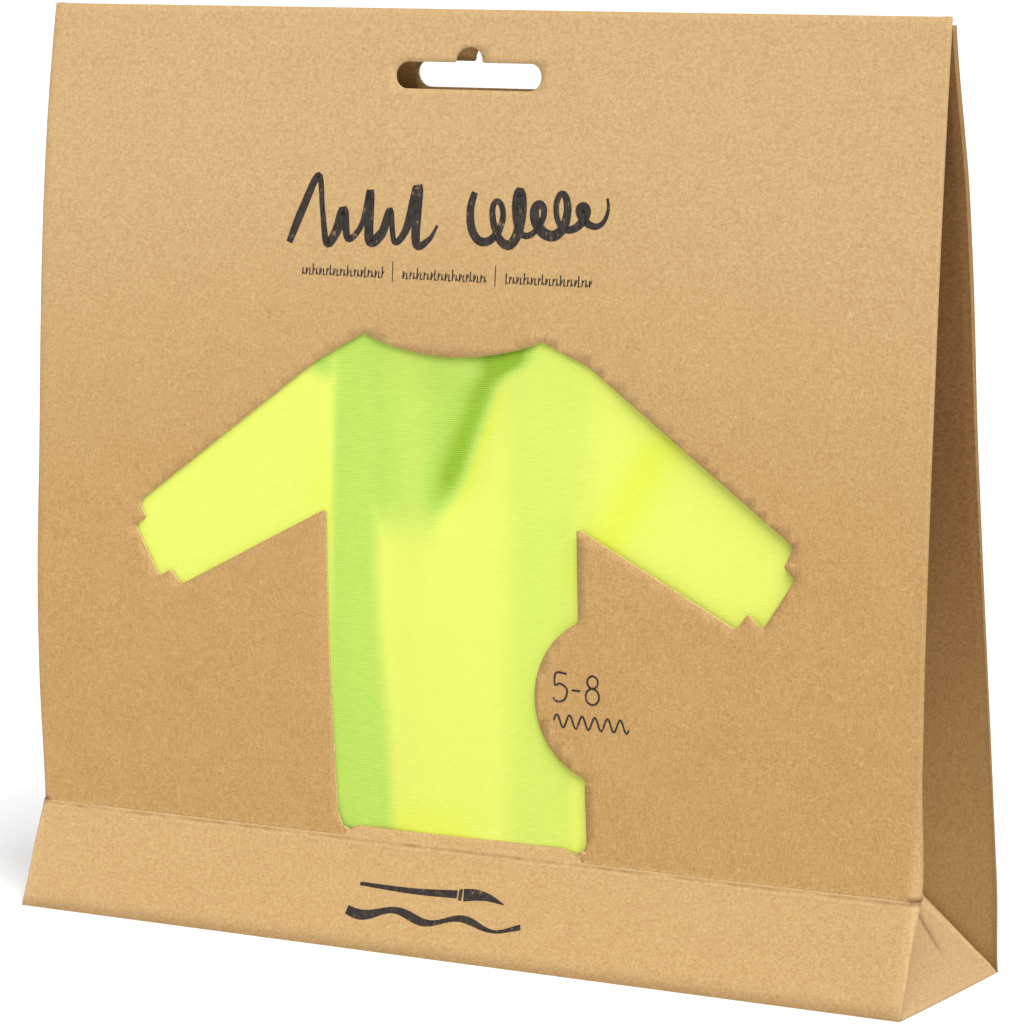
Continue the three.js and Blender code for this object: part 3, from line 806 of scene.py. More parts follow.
def panel_with_folds(outline, holes, grid, clear, surface, rows, fold):
    """A panel's outer face y = surface(x, z), joined to the folds at its side edges."""
    flat, faces = flat_mesh(outline, holes, grid, clear)
    panel = np.array([(x, surface(x, z), z) for x, z in flat]), faces
    folds = [
        grid_surface([[(x, y, z) for x, y in fold(side, z)] for z in rows]) for side in (1, -1)
    ]
    return join_surfaces(panel, *folds)


def wear_and_painted_light(x, y, z):
    """Paler board on the folds at the sides and on the embossed lines of the foot crease: partly
    rubbing, partly painted highlight.
    """
    near_side = ease(HALF - 1.4, HALF - 0.4, abs(x))
    low = ease(FOOT_FOLD_TOP, CREASE_Z, z) * ease(HALF - 2.6, HALF - 1.0, abs(x))
    first, second = crease_lines(x, CREASE_Z - z)
    return min(1.0, 0.12 * near_side + 0.4 * low + 0.5 * first + 0.65 * second)


def crease_shade(x, y, z):
    """Painted shade: darker board in the broken groove between the two lines, in the corner at each
    end and, faintly, along the side edges above."""
    d = CREASE_Z - z
    groove = peak(d - 0.6, 0.22) * max(0.0, 0.35 + wobble(x, 8, 0, 3.0, 0.6))
    end = peak(d + 0.2, 0.6) * ease(HALF - 3.2, HALF - 1.2, abs(x))
    side = ease(HALF - 1.6, HALF - 0.5, abs(x)) * ease(CREASE_Z, FOOT_FOLD_TOP, z)
    return min(1.0, groove + 0.9 * end + 0.13 * side)


def front_paleness(x, y, z):
    """Painted sheen: the board is a little paler where it bends back towards the mouth and turns up
    to the light.
    """
    return 0.27 * ease(85, 165, z + 0.15 * abs(x))


def front_board():
    rows = front_rows()
    left_line, right_line = finer(window_left(), CUT_STEP), finer(window_right(), CUT_STEP)
    disc = disc_line()
    hem = finer(rounded([disc[-1] + (0,), (28.8, 24.6, 1.2), (27.6, CREASE_Z, 0)]), CUT_STEP)
    foot = finer([(-INNER, CREASE_Z), left_line[0]], CREASE_STEP)[:-1] + left_line + neck_line()
    foot += right_line + finer([right_line[-1], disc[0]], CUT_STEP)[1:-1] + disc[:-1] + hem[:-1]
    foot += finer([hem[-1], (INNER, CREASE_Z)], CREASE_STEP)[:-1]
    top = finer([(INNER, TOP_Z), (-INNER, TOP_Z)], 2.0)[:-1]
    grid = np.concatenate([
        grid_points(np.arange(-INNER + 1.0, INNER, 1.0), rows[1:len(CREASE_ROWS)]),
        grid_points(np.arange(-INNER + 2.5, INNER, 2.5), np.arange(CREASE_Z + 5.5, TOP_Z, 2.5)),
    ])
    outline = panel_outline(rows, foot, top)
    piece = board_piece(
        "front_board",
        panel_with_folds(outline, [slot_loop()], grid, 0.2, front_surface, rows, front_fold),
        (0, -1, 0),
        cut=lambda x, y, z: z > CREASE_Z + 0.2 and abs(x) < INNER + 0.5 or z > TOP_Z - 0.1,
        wear_and_highlight=wear_and_painted_light, shade=crease_shade, pale=front_paleness,
    )
    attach(piece, "front")
    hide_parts("front_panel")


def sill_line():
    """The top of the foot board across the window, with a small torn ear at each end."""
    return finer(rounded([
        (27.6, CREASE_Z, 0), (28.7, CREASE_Z + 1.9, 0.5), (27.9, CREASE_Z + 2.6, 0.3),
        (26.6, CREASE_Z + 1.3, 0.8), (23.0, SILL_Z + 0.2, 2.0), (-14.7, SILL_Z - 0.1, 4),
        (-22.6, SILL_Z, 1.0), (-24.3, CREASE_Z + 1.1, 0.6), (-25.6, CREASE_Z + 1.7, 0.3),
        (-26.0, CREASE_Z + 0.9, 0.3), (-25.3, CREASE_Z, 0),
    ]), 0.8)


def sill_surface(x, z):
    """The foot board's face, with the torn ears curling forward."""
    ear = ease(2.6, 0.4, abs(x + 25.2)) + ease(2.4, 0.4, abs(x - 28.2))
    curl = 1.1 * ear * ease(CREASE_Z + 0.2, CREASE_Z + 2.4, z)
    return foot_surface(x, z) - curl


def foot_board():
    rows = [0.0, 3.0, 6.0, 9.0, 12.0, 15.0] + [CREASE_Z - r for r in reversed(CREASE_ROWS)]
    sill = sill_line()
    foot = finer([(-INNER, 0.0), (INNER, 0.0)], EDGE_STEP)[:-1]
    top = finer([(INNER, CREASE_Z), sill[0]], CREASE_STEP)[:-1] + sill
    top += finer([sill[-1], (-INNER, CREASE_Z)], CREASE_STEP)[1:-1]
    grid = np.concatenate([
        grid_points(np.arange(-INNER + 1.0, INNER, 1.0), rows[6:-1]),
        grid_points(np.arange(-INNER + 2.5, INNER, 2.5), rows[1:6]),
        grid_points(np.arange(-24, 28, 1.0), [CREASE_Z, CREASE_Z + 0.7, CREASE_Z + 1.4]),
    ])
    outline = panel_outline(rows, foot, top)
    piece = board_piece(
        "foot_board", panel_with_folds(outline, [], grid, 0.2, sill_surface, rows, foot_fold),
        (0, -1, 0), cut=lambda x, y, z: z > CREASE_Z + 0.1,
        # painted sheen: the foot leans back to the light above and is a little paler all over
        wear_and_highlight=wear_and_painted_light, shade=crease_shade, pale=lambda x, y, z: 0.17,
    )
    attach(piece, "sack")
    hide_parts("foot_panel")


def back_board():
    rows = back_rows()
    foot = finer([(-INNER, 0.0), (INNER, 0.0)], EDGE_STEP)[:-1]
    top = finer([(INNER, BACK_Z), (-INNER, BACK_Z)], EDGE_STEP)[:-1]
    grid = grid_points(np.arange(-INNER + 3, INNER, 3.0), np.arange(3.0, BACK_Z - 1, 3.0))
    outline = panel_outline(rows, foot, top)
    piece = board_piece(
        "back_board",
        panel_with_folds(outline, [slot_loop()], grid, 0.4, back_surface, rows, back_fold),
        (0, 1, 0),
        cut=lambda x, y, z: z > 1.0 and abs(x) < INNER + 0.5 or z > BACK_Z - 0.1,
        # rubbing and painted highlight as on the front, kept faint
        wear_and_highlight=lambda x, y, z: 0.4 * wear_and_painted_light(x, y, 90.0),
        # painted shade on the fold at each side edge
        shade=lambda x, y, z: 0.6 * ease(HALF - 0.7, HALF - 0.1, abs(x)),
    )
    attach(piece, "sack")
    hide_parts("back_panel")


# ---------- side folds ----------

HANDS = {1: "right", -1: "left"}  # by the side's sign in x


def middle_point(side, v):
    """The point at a share v up the side fold's middle crease."""
    z = APEX_Z + v * (SIDE_TOP - APEX_Z)
    x, y = crease_middle(z)
    return np.array([side * float(x), float(y), z])


def bowed(a, b, u, bow):
    """A point from a to b, standing off the straight line by bow in x."""
    p = a + (b - a) * u
    p[0] += bow * math.sin(math.pi * u)
    return p


def unfold_share(z):
    """0 at the foot, where the side fold is held by the base, and 1 where it is free to open."""
    return ease(CREASE_Z, 90.0, z)


def side_half(side, front):
    """One half of a side fold, from its panel to the middle crease that folds inwards."""
    count, across = 46, 12  # mesh steps up the fold and across it
    rows, shares = [], []
    for i in range(count + 1):
        v = i / count
        if front:
            z = CREASE_Z + v * (TOP_Z - CREASE_Z)
            x, y = front_fold(side, z)[-1]
        else:
            z = v * BACK_Z
            x, y = back_fold(side, z)[-1]
        edge, middle = np.array([x, y, z]), middle_point(side, v)
        free = unfold_share(middle[2])
        line = []
        for k in range(across + 1):
            u = k / across
            bow = side * 0.5 * math.sin(math.pi * v) * (1 if front else -1)
            p = bowed(edge, middle, u, bow)
            p[0] += wobble(p[0], p[1], p[2], 30.0, 0.35) * math.sin(math.pi * u)
            line.append(p)
            shares.append(u * (1 - 0.5 * free) if front else 1 - 0.5 * free * u)
        rows.append(line)
    outward = (side, 1, 0) if front else (side, -0.6, 0)

    # Paler board along the middle crease: partly rubbing, partly painted highlight.
    def wear_and_highlight(x, y, z):
        mx, _ = crease_middle(max(z, APEX_Z))
        return 0.7 * peak(abs(x) - float(mx), 0.7) * ease(15, 25, z)

    # Painted shade in the deep side fold, darker towards its top, where the fold narrows.
    def shade(x, y, z):
        return 0.27 + 0.66 * ease(15.0, 105.0, z)

    top, word = (TOP_Z, "front") if front else (BACK_Z, "rear")
    piece = board_piece(
        f"side_fold_{word}_{HANDS[side]}", grid_surface(rows), outward,
        cut=lambda x, y, z: z > top - 3.0, wear_and_highlight=wear_and_highlight, shade=shade, material=KRAFT_SIDE_SHADED,
    )
    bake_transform(piece)
    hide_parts(f"gusset_{word}_{HANDS[side]}")


def triangle_surface(a, b, c, steps, lift=None):
    """A triangle as a grid whose rows shrink to c, each point p moved by lift(p)."""
    rows = []
    for i in range(steps + 1):
        v = i / steps
        row = []
        for k in range(steps + 1):
            p = a + (b - a) * k / steps
            p = p + (c - p) * v
            if lift is not None:
                p = p + lift(p)
            row.append(p)
        rows.append(row)
    return grid_surface(rows)


def base_side(side):
    """The triangle that leans in from the base, and the narrow one behind the foot's corner."""
    b = np.array([side * HALF, FRONT_Y, 0.0])
    c = np.array([side * HALF, REAR_Y, 0.0])
    a = np.array([side * (HALF - 0.15), CREASE_Y + 1.2, CREASE_Z])
    m = middle_point(side, 0.0)

    def fold_mark(y, z):
        """How far (y, z) is from the sharp little fold line that runs down from just under the
        tip, and how strong the line is there, from 0 to 1."""
        start, end = np.array([0.6, 17.2]), np.array([4.0, 8.0])
        d = (end - start) / np.linalg.norm(end - start)
        rel = np.array([y, z]) - start
        off = rel[0] * -d[1] + rel[1] * d[0] + 0.8 * math.sin(0.25 * (rel @ d))
        along = ease(-1, 1, rel @ d) * (1 - ease(7, 13, rel @ d))
        return off, along

    def lift(p):
        """The fold line stands out, and the board rolls out a little above the base edge."""
        off, along = fold_mark(p[1], p[2])
        ridge = 0.6 * along * peak(off - 0.5, 0.7)
        middle = float(np.clip(1 - (p[1] / REAR_Y) ** 2, 0, 1))
        roll = 0.5 * middle * peak(p[2] - 2.0, 2.0)
        return np.array([side * (ridge + roll), 0.0, 0.0])

    surface = join_surfaces(triangle_surface(b, c, m, 48, lift), triangle_surface(a, b, m, 12))

    # Paler board along the base edge and the crease to the tip: partly rubbing, partly painted
    # highlight.
    def wear_and_highlight(x, y, z):
        away = abs(z - APEX_Z * (1 - max(y, 0.0) / REAR_Y)) if y > 0 else 9.0
        return min(1.0, 0.5 * peak(z, 1.6) + 0.9 * peak(away, 0.9))

    # Painted shade beside the ridge of the little fold line.
    def shade(x, y, z):
        off, along = fold_mark(y, z)
        return 0.9 * along * peak(off + 0.2, 0.38)

    hand = HANDS[side]
    piece = board_piece(
        f"side_base_{hand}", surface, (side, 0, 0.4), cut=lambda x, y, z: False,
        # painted light: the base triangle faces up to the light and is paler all over
        wear_and_highlight=wear_and_highlight, shade=shade, pale=lambda x, y, z: 0.30,
    )
    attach(piece, "sack")
    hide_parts(f"base_triangle_{hand}", f"foot_corner_{hand}")


def base_flaps():
    """The flaps glued under the base keep the shape that the frame gives them."""
    for place in ("front", "rear", "left", "right"):
        node = frame["nodes"]["base_flap_" + place]
        if not node.material_slots:
            node.data.materials.append(KRAFT_FLAT)
        for slot in node.material_slots:
            slot.material = KRAFT_FLAT


def seam_flap():
    """The glued flap just inside the back board, along its left edge."""
    low, high = box_mm("seam_flap")
    rows = []
    for z in np.linspace(low[2] + 1.0, high[2] - 0.5, 60):
        line = []
        for x in np.linspace(low[0] + 1.6, high[0], 10):
            nip = 0.02 * (x - low[0])  # its free edge stands a little off the board
            line.append((x, back_surface(x, z) - BOARD - 0.08 - nip, z))
        rows.append(line)
    piece = board_piece("seam_flap_board", grid_surface(rows), (0, 1, 0), material=KRAFT_IN)
    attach(piece, "sack")
    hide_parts("seam_flap")


# ---------- the folded smock ----------


def packed_front(z):
    """The front face of the folded smock as the frame has it."""
    return CLOTH_LOW[1] + SMOCK_LEAN * np.maximum(np.asarray(z, float) - CREASE_Z, 0)


def share_y(share, z):
    """The y at a share of the folded smock's thickness."""
    return float(packed_front(z)) * (1 - share) + REAR_FACE * share


def fold_x(z):
    """The slanting fold that runs down from the neck, opening to the right at its top."""
    above = min(max(z - 109.0, 0.0), 7.0)
    return -2.7 + 0.37 * (min(z, 122.0) - 86.6) + 0.09 * above**2


def hollow(x, z):
    """How far the front cloth lies behind the board, apart from its even clearance."""
    upper = ease(80, 93, z)
    line = fold_x(z)
    depth = 0.7 * ease(-27.5, -15.0, x)
    depth += 0.7 * upper * ease(-18.0, line + 1.0, x)
    depth -= 1.1 * upper * ease(line, line + 7.0, x)
    depth -= 0.5 * (1 - upper) * ease(-17.0, -7.0, x)
    depth += 0.35 * ease(14.0, 27.0, x)
    depth += 0.25 * ease(26.0, 40.0, x) * ease(60, 95, z)
    depth += wobble(x, 20, z, 30.0, 0.25) + wobble(x, 40, z, 11.0, 0.04)
    near_neck = 1 - 0.8 * ease(106, 117, z)
    return max(depth, 0.0) * near_neck


def cloth_front(x, z):
    """The front cloth, close behind the board, and back against the stack at its far edges."""
    board = float(front_y(x, z)) + BOARD if z > CREASE_Z else CREASE_Y + 1.4
    close = board + 0.3
    far = float(packed_front(z)) - 3.4 - 1.5 * ease(-20, -55, x)
    edge = ease(30, 8, z) + ease(130, 149, z)
    edge += ease(60, 74, abs(x)) * (ease(96, 110, z) + ease(60, 50, z))
    y = max(close, far) + hollow(x, z)
    return y + (max(float(packed_front(z)), close) - y) * min(edge, 1.0) * 0.6


def serpentine(high, low, plies, step_fine, step_rough):
    """(z, share) along a sheet folded up and down: ply 0 is the front one and starts high. It
    has the fine step, and those behind it the rough one."""
    path = []
    for ply in range(plies):
        share = ply / (plies - 1)
        step = step_fine if ply == 0 else step_rough
        slack = 0.5 * math.sin(2.3 * ply + 0.7)
        count = max(2, round((high - low) / step))
        for k in range(count + 1):
            t = k / count
            z = high - slack - (high - low) * t if ply % 2 == 0 else low + slack + (high - low) * t
            path.append((z, share))
        if ply < plies - 1:
            turn_z = path[-1][0]
            out = -1 if ply % 2 == 0 else 1
            for k in range(1, 6):
                a = math.pi * k / 6
                part = (1 - math.cos(a)) / 2 / (plies - 1)
                path.append((turn_z + out * 0.9 * math.sin(a), share + part))
    return path


def cloth_piece(name, points, material, thickness=CLOTH, marks=None):
    """A sheet of cloth through a (rows, columns, 3) array, with its real thickness."""
    surface = grid_surface(points)
    piece = new_object(name, plain_bmesh(surface), [material])
    add_marks(piece, surface[0], marks or {})
    solid = piece.modifiers.new("cloth", "SOLIDIFY")
    solid.thickness = thickness * MM
    solid.offset = 0.0
    return piece


def path_length(path, front, rear, x):
    """The length of the cloth along its folds, at x."""
    places = [(z, front(x, z) * (1 - s) + rear(x, z) * s) for z, s in path]
    steps = zip(places, places[1:])
    return sum(math.hypot(b[0] - a[0], b[1] - a[1]) for a, b in steps)


def folded_cloth(name, span, rise, front, rear, plies, step, material=NEON, marks=None,
                 spread=0.0, taper=0.0):
    """A garment part folded up and down into a stack, between two faces y = front, rear(x, z).
    Its front ply is wider by spread halfway up, and its lower end narrower by taper."""
    low_x, high_x = span
    path = serpentine(rise[1], rise[0], plies, step, max(step, COARSE_STEP))
    columns = max(8, round((high_x - low_x) / step))
    points = []
    for z, share in path:
        ply = share * (plies - 1)
        row = []
        for k in range(columns + 1):
            t = k / columns
            narrow = 0.7 * math.sin(1.7 * ply + 1.0) + wobble(ply * 9, z, 3, 30.0, 0.6)
            x = low_x + (high_x - low_x) * t + narrow * (1 - 2 * t) * (ply > 0.2)
            x += (2 * t - 1) * spread * peak(z - 78, 16) * (ply < 1)
            x += (1 - 2 * t) * taper * (rise[1] - z) / (rise[1] - rise[0])
            hang = wobble(x, 17 * ply, 5, 28.0, 0.8)
            hang *= 2 * (z - rise[0]) / (rise[1] - rise[0]) - 1
            y = front(x, z) * (1 - share) + rear(x, z) * share
            y += wobble(x, 60 + 11 * ply, z, 22.0, 0.4) * (ply > 0.2) * (share < 0.999)
            row.append((x, y, z - 0.7 * hang))
        points.append(row)
    piece = cloth_piece(name, points, material, marks=marks)
    length = path_length(path, front, rear, (low_x + high_x) / 2)
    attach(piece, "smock")
    return piece


def cloth_fold_shade(x, y, z):
    """Painted shade on the cloth: how green it looks, 0 in full light, 1 in its folds, 2 at the
    deepest fold; the neck and shoulder patches are painted shadow of the board's edge. The camera's
    slant shows the cloth a little left of the window's own places, hence the shift."""
    x = x + 1.0
    upper = ease(76, 87, z + 0.1 * x)
    band_end = -17.6 + 3.4 * ease(80, 30, z)
    band = ease(-28.8, -26.6, x) * (1 - ease(band_end - 2.5, band_end + 2.0, x))
    line = fold_x(z) - 0.6
    panel = 0.86 * upper * (ease(-28, -24, x) * (1 - ease(line - 2.5, line + 2.6, x)))
    panel *= 1 + 0.14 * math.sin(0.42 * x + 0.03 * z)
    deep = ease(84, 94, z) * peak(x - line, 4.0 if x < line else 2.3)
    neck = ease(112.5, 116.5, z) * peak(x - 8.0, 5.0) * 1.2
    right = 0.42 * (ease(8.5, 16, x) * (1 - ease(24.5, 27, x)) * ease(100, 85, z))
    chest = 0.34 * (ease(8, 14, x) * (1 - ease(24, 33, x)) * ease(78, 92, z))
    shoulder = 1.2 * ease(109.5, 114.5, z + 0.3 * (x + 32)) * peak(x + 31.5, 4.5)
    # The painted shade fades out higher up.
    seen = 1 - 0.8 * ease(119, 138, z)  # the folds die out where the board hides them
    return seen * (max(band * 0.95, panel, right, chest, shoulder) + 1.45 * deep + neck)


def cloth_richness(x, y, z):
    """Painted light: how saturated the yellow is, most where light comes through the cloth beside a
    fold.
    """
    x = x + 1.0
    beside = peak(x - fold_x(z) - 2.4, 1.9)
    beside *= ease(85, 91, z) * (1 - ease(107, 112, z))
    armpit = peak(x - 33.1 - 0.56 * (z - 83.3), 5.5)
    armpit *= ease(70, 80, z) * (1 - ease(100, 108, z))
    left = math.exp(-(((x + 30) / 4) ** 2) - ((z - 88) / 7) ** 2)
    foot = ease(33, 23, z) * ease(-18, -12, x) * (1 - ease(0, 8, x))
    return min(0.7 * beside + 0.75 * armpit + 0.35 * left + 0.5 * foot, 1.0)


def smock():
    """The front with its plies, the two back halves behind it, and the sleeves hindmost."""

    def between(shares):
        """The two faces y = f(x, z) of a part that lies between two shares of the stack."""
        faces = zip(shares, (PLY_GAP, -PLY_GAP))
        return [lambda x, z, share=s, gap=g: share_y(share, z) + gap for s, g in faces]

    low, high = CLOTH_LOW, CLOTH_HIGH
    step = 1.0
    piece = folded_cloth(
        "smock_front_cloth", (low[0] + 0.3, high[0] - 0.3), (low[2] + 1.5, high[2] - 1.0),
        cloth_front, lambda x, z: share_y(FRONT_END, z) - 0.12, 4, step,
        # painted shade and painted light on the front cloth
        material=NEON_FACE, marks={"fold_shade": cloth_fold_shade, "rich": cloth_richness}, spread=2.0,
    )
    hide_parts("smock_front_body")
    for hand, shares in (("left", LEFT_HALF), ("right", RIGHT_HALF)):
        node = "smock_back_" + hand
        piece = folded_cloth(node + "_cloth", *inset(node), *between(shares), 3, COARSE_STEP)
        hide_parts(node)
    arm_front, _ = between((ARMS_START, 1.0))
    for hand in ("left", "right"):
        node = "sleeve_" + hand
        piece = folded_cloth(
            node + "_cloth", *inset(node), arm_front,
            lambda x, z: REAR_FACE - PLY_GAP - arm_wrinkle(x, z), 4, 1.6, taper=3.5,
        )
        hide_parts(node)
        cuff(hand)


def inset(node):
    """A node's span in x and its rise in z, a little inside its box."""
    low, high = box_mm(node)
    return (low[0] + 0.5, high[0] - 0.5), (low[2] + 1.4, high[2] - 1.4)


def arm_wrinkle(x, z):
    """The lengthwise creases left in a sleeve by folding it."""
    middle = (34.0 + 0.06 * (z - 90)) * (1 if x > 0 else -1)
    crease = 0.6 * peak(x - middle, 1.3)
    pull = 0.45 * math.sin(0.55 * x + 0.16 * z + 2.0 * noise.noise(Vector((x / 20, 7, z / 25))))
    gather = 0.5 * math.sin(1.15 * x) * math.exp(-((z - 29.0) / 14.0))
    return float(np.clip(0.75 + crease + pull + gather + wobble(x, 0, z, 14.0, 0.6), 0.0, 2.2))


def cuff(hand):
    """A gathered tube with its elastic casing, hemmed in at the open end."""
    low, high = box_mm("cuff_" + hand)
    centre, half = (low[0] + high[0]) / 2, (high[0] - low[0]) / 2
    around, rows = 120, []
    levels = [(high[2] + 2.0, 0.9)] + [(z, 1.0) for z in np.linspace(high[2] - 1, low[2] + 0.8, 14)]
    hem = ((0.3, 0.93), (0.3, 0.72), (1.5, 0.62), (9.0, 0.6))
    levels += [(low[2] + up, full) for up, full in hem]
    for z, full in levels:
        front, rear = share_y(ARMS_START, z) + 0.1, REAR_FACE - PLY_GAP
        mid, deep = (front + rear) / 2, (rear - front) / 2
        row = []
        for k in range(around + 1):
            a = 2 * math.pi * k / around
            gather = 0.10 * math.sin(23 * a + 1.2 * math.sin(3 * a))
            gather += wobble(20 * math.cos(a), z, 20 * math.sin(a), 6.0, 0.12)
            tuck = 1.0 - 0.10 * peak(z - low[2] - 9.0, 2.2)
            px = math.copysign(abs(math.cos(a)) ** 0.5, math.cos(a))
            py = math.copysign(abs(math.sin(a)) ** 0.7, math.sin(a))
            x = centre + px * (half - 0.9) * (0.96 + 0.04 * full)
            y = mid + py * deep * (full * tuck * 0.82 + gather * full)
            row.append((x, min(max(y, front), rear), z))
        rows.append(row)
    piece = cloth_piece(f"cuff_{hand}_cloth", rows, NEON_RIB)
    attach(piece, "smock")
    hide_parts("cuff_" + hand)


def neck_binding():
    """A narrow folded band along the neck opening, with a row of stitches near its free edge."""
    low, high = box_mm("neck_binding")
    front, rear = share_y(ARMS_START, high[2]) + 0.1, REAR_FACE - 0.1
    path = [
        (low[2] + 0.4, front), (low[2] + 2.4, front), (high[2] - 2.0, front),
        (high[2] - 0.8, front + 0.15), (high[2] - 0.2, (front + rear) / 2),
        (high[2] - 0.8, rear - 0.15), (high[2] - 2.0, rear), (low[2] + 2.6, rear),
        (low[2] + 2.2, rear - 0.12), (low[2] + 1.8, rear), (low[2] + 0.4, rear),
    ]
    steps, rows = 92, []
    for z, y in path:
        stitched = abs(z - low[2] - 2.2) < 0.3
        row = []
        for k in range(steps + 1):
            x = low[0] + 0.4 + (high[0] - low[0] - 0.8) * k / steps
            pull = -0.10 * abs(math.sin(math.pi * k / 2)) if stitched else 0.0
            wave = wobble(x, 0, z, 14.0, 0.12) * (y < rear - 0.5)
            row.append((x, y + pull + wave, z + wobble(x, 3, 1, 20.0, 0.3)))
        rows.append(row)
    piece = cloth_piece("neck_binding_cloth", rows, NEON_RIB)
    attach(piece, "smock")
    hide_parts("neck_binding")


def woven_strip(node, material, wave):
    """A flat tape or label, slightly wavy, as thick as the frame has it."""
    low, high = box_mm(node)
    width, length = high[0] - low[0], high[2] - low[2]
    count_x, count_z = max(10, round(width / 0.8)), max(10, round(length / 0.8))
    lean = (share_y(TAPE_SHARE, high[2]) - share_y(TAPE_SHARE, low[2])) / max(length, 1)
    mid = (low[1] + high[1]) / 2 - lean * length / 2
    rows = []
    for i in range(count_z + 1):
        z = low[2] + 0.2 + (length - 0.4) * i / count_z
        row = []
        for k in range(count_x + 1):
            x = low[0] + 0.2 + (width - 0.4) * k / count_x
            row.append((x, mid + lean * (z - low[2]) + wobble(x, 0, z, 11.0, wave), z))
        rows.append(row)
    piece = cloth_piece(node + "_woven", rows, material, thickness=min(0.5, high[1] - low[1]))
    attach(piece, "smock")
    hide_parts(node)


# ---------- prints ----------

INK_LIFT = 0.035  # how far the ink stands off the board


def ribbon(points, width):
    """A stroke in (x, z) as a grid: two edges along the points. width is a number or a function
    of the share along the stroke."""
    points = np.asarray(points, float)
    rows = []
    for i, p in enumerate(points):
        d = points[min(i + 1, len(points) - 1)] - points[max(i - 1, 0)]
        d = d / max(np.linalg.norm(d), 1e-9)
        n = np.array([-d[1], d[0]])
        w = width(i / (len(points) - 1)) if callable(width) else width
        rows.append([p - n * w / 2, p, p + n * w / 2])
    return np.array(rows)


def printed(name, strokes, surface, body):
    """Ink on a board: every stroke is a thin ribbon that follows the surface."""
    parts = []
    for rows in strokes:
        lifted = [[(x, surface(x, z) - INK_LIFT, z) for x, z in row] for row in rows]
        parts.append(grid_surface(lifted))
    bm = plain_bmesh(join_surfaces(*parts))
    for face in bm.faces:
        if face.normal.y > 0:
            face.normal_flip()
    piece = new_object(name, bm, [INK])
    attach(piece, body)


def spline(knots, steps):
    """A smooth curve through the knots."""
    knots = [np.array(k, float) for k in knots]
    padded = [2 * knots[0] - knots[1], *knots, 2 * knots[-1] - knots[-2]]
    out = []
    for a, b, c, d in zip(padded, padded[1:], padded[2:], padded[3:]):
        for k in range(steps):
            t = k / steps
            out.append(0.5 * (2 * b + (c - a) * t + (2 * a - 5 * b + 4 * c - d) * t**2
                              + (3 * b - a - 3 * c + d) * t**3))
    return out + [knots[-1]]


def brush_width(share):
    """A brush's uneven stroke, thin at both ends."""
    return 1.68 + 0.48 * math.sin(23 * share + 1.0) - 0.7 * abs(2 * share - 1) ** 8


def squiggle():
    """Two brushed flourishes where a title would be."""
    first = [
        (-39.5, 137.0), (-36.8, 143.5), (-33.4, 150.2), (-32.2, 143.5), (-31.0, 137.2),
        (-28.9, 139.5), (-27.4, 143.6), (-26.2, 138.2), (-23.2, 141.0), (-21.6, 147.5),
        (-21.4, 138.2), (-18.6, 139.6), (-17.0, 144.0), (-15.8, 138.0), (-13.2, 140.6),
        (-11.0, 148.6), (-11.0, 138.0), (-8.2, 138.6), (-6.4, 141.4),
    ]
    second = [
        (0.8 + 4.6 * t + (2.0 + 0.4 * math.sin(2 * t)) * math.cos(2 * math.pi * t),
         142.4 + (5.2 - 0.5 * t + 1.2 * math.cos(3 * t)) * math.sin(2 * math.pi * t) + 0.4 * t)
        for t in np.arange(0.3, 6.3, 0.125)
    ]
    return [ribbon(spline(first, 8), brush_width), ribbon(spline(second, 3), brush_width)]


def subtitle():
    """Three groups of fine upright ticks, with a taller thin line between them."""
    strokes, foot = [], 130.9
    for k in range(85):
        x = -37.8 + 0.78 * k
        group = k % 29
        if group == 28:
            strokes.append(ribbon([(x, 130.2), (x, 134.2)], 0.20))
        elif group not in (0, 1, 26, 27):
            tall = 1.35 + 0.75 * (k * 7 % 5 == 0) + 0.15 * math.sin(3.1 * k)
            strokes.append(ribbon([(x, foot), (x + 0.08, foot + tall)], 0.27))
            link = [(x, foot + 0.6 * (k * 3 % 4 > 1)), (x + 0.5, 131.0 + 1.2 * (k % 2))]
            strokes.append(ribbon(link, 0.22))
    return strokes


def around(count):
    return np.linspace(0, 2 * math.pi, count)


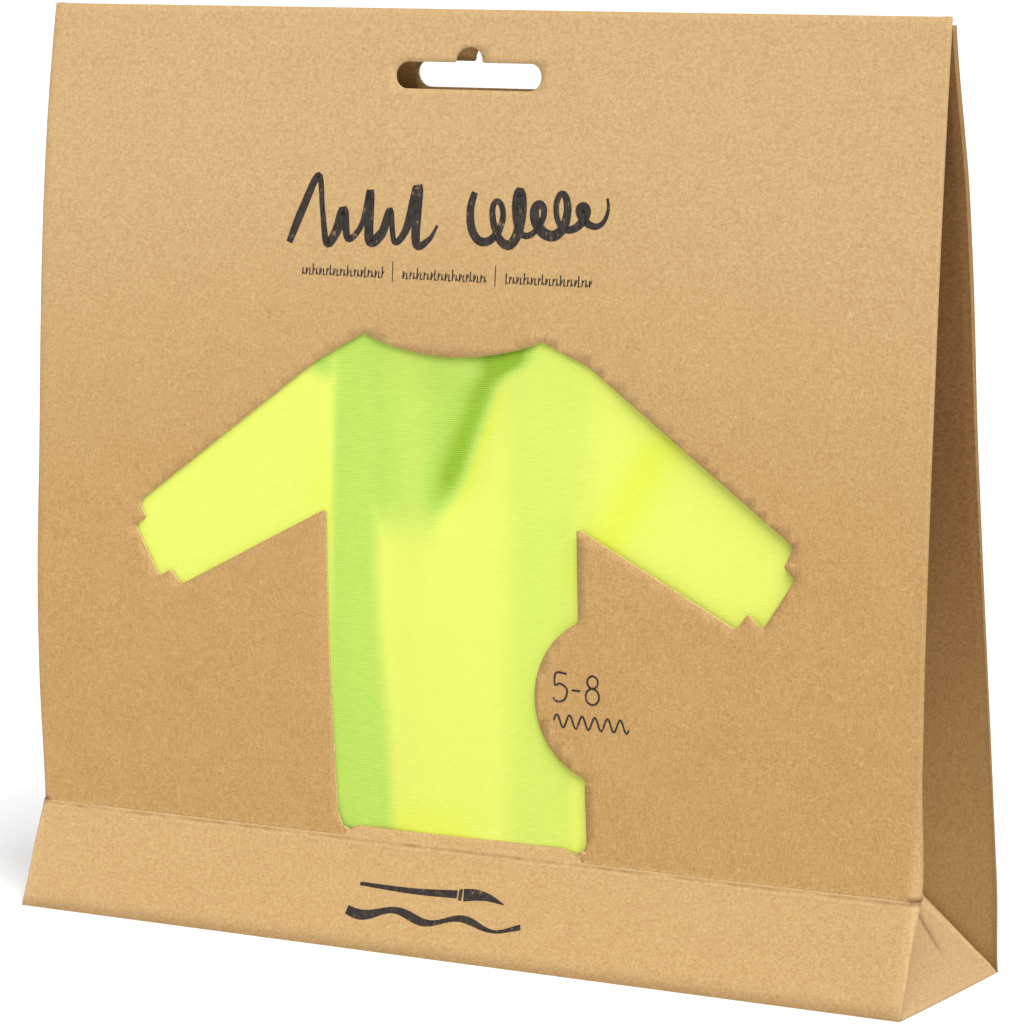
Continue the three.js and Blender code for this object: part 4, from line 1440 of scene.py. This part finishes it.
def age_mark():
    """Plain digits with a dash between them, over a wavy line."""
    five = spline([
        (24.3, 57.2), (22.0, 57.2), (21.8, 54.9), (22.9, 55.2), (24.4, 54.2), (23.9, 52.2),
        (22.2, 51.7), (21.4, 52.4),
    ], 6)
    dash = [(25.4, 54.1), (27.3, 54.1)]
    top = [(29.9 + 1.15 * math.cos(t), 56.0 + 1.2 * math.sin(t)) for t in around(20)]
    low = [(29.9 + 1.45 * math.cos(t), 53.2 + 1.55 * math.sin(t)) for t in around(24)]
    wave = [(x, 48.0 + 1.25 * math.sin(2.3 * (x - 21.6))) for x in np.arange(21.6, 38.0, 0.2)]
    return [ribbon(line, 0.42) for line in (five, dash, top, low, wave)]


def foot_mark():
    """A plain paintbrush lying above a painted stroke."""
    handle = [(-20.0, 12.2), (-8.0, 12.0), (2.0, 12.4)]
    tip = [(3.4, 12.4), (6.0, 12.7), (9.0, 12.5), (12.5, 11.6)]
    wave = [(x, 7.3 + 0.8 * math.sin(0.42 * x)) for x in np.arange(-22.0, 18.0, 1.0)]
    return [
        ribbon(spline(handle, 8), lambda t: 0.7 + 0.8 * t),
        ribbon([(2.3, 12.4), (3.1, 12.4)], 2.1),
        ribbon(spline(tip, 8), lambda t: 2.3 - 2.1 * t**2),
        ribbon(wave, lambda t: 1.7 - 0.9 * t + 0.3 * math.sin(20 * t)),
    ]


# ---------- everything together ----------

place_camera()
light_scene()
floor()
front_board()
foot_board()
back_board()
for side in HANDS:
    side_half(side, True)
    side_half(side, False)
    base_side(side)
base_flaps()
seam_flap()
smock()
neck_binding()
for node, material, slot, wave in (
    ("hook_tape", TAPE, "touch_fastener", 0.12),
    ("loop_tape", TAPE, "touch_fastener", 0.12),
    ("care_label", SATIN, "label_satin", 0.12),
    ("cuff_elastic_left", ELASTIC, "elastic", 0.05),
    ("cuff_elastic_right", ELASTIC, "elastic", 0.05),
):
    woven_strip(node, material, wave)
for name, strokes in (("title", squiggle()), ("subtitle", subtitle()), ("age", age_mark())):
    printed(name + "_print", strokes, front_surface, "front")
printed("foot_print", foot_mark(), foot_surface, "sack")
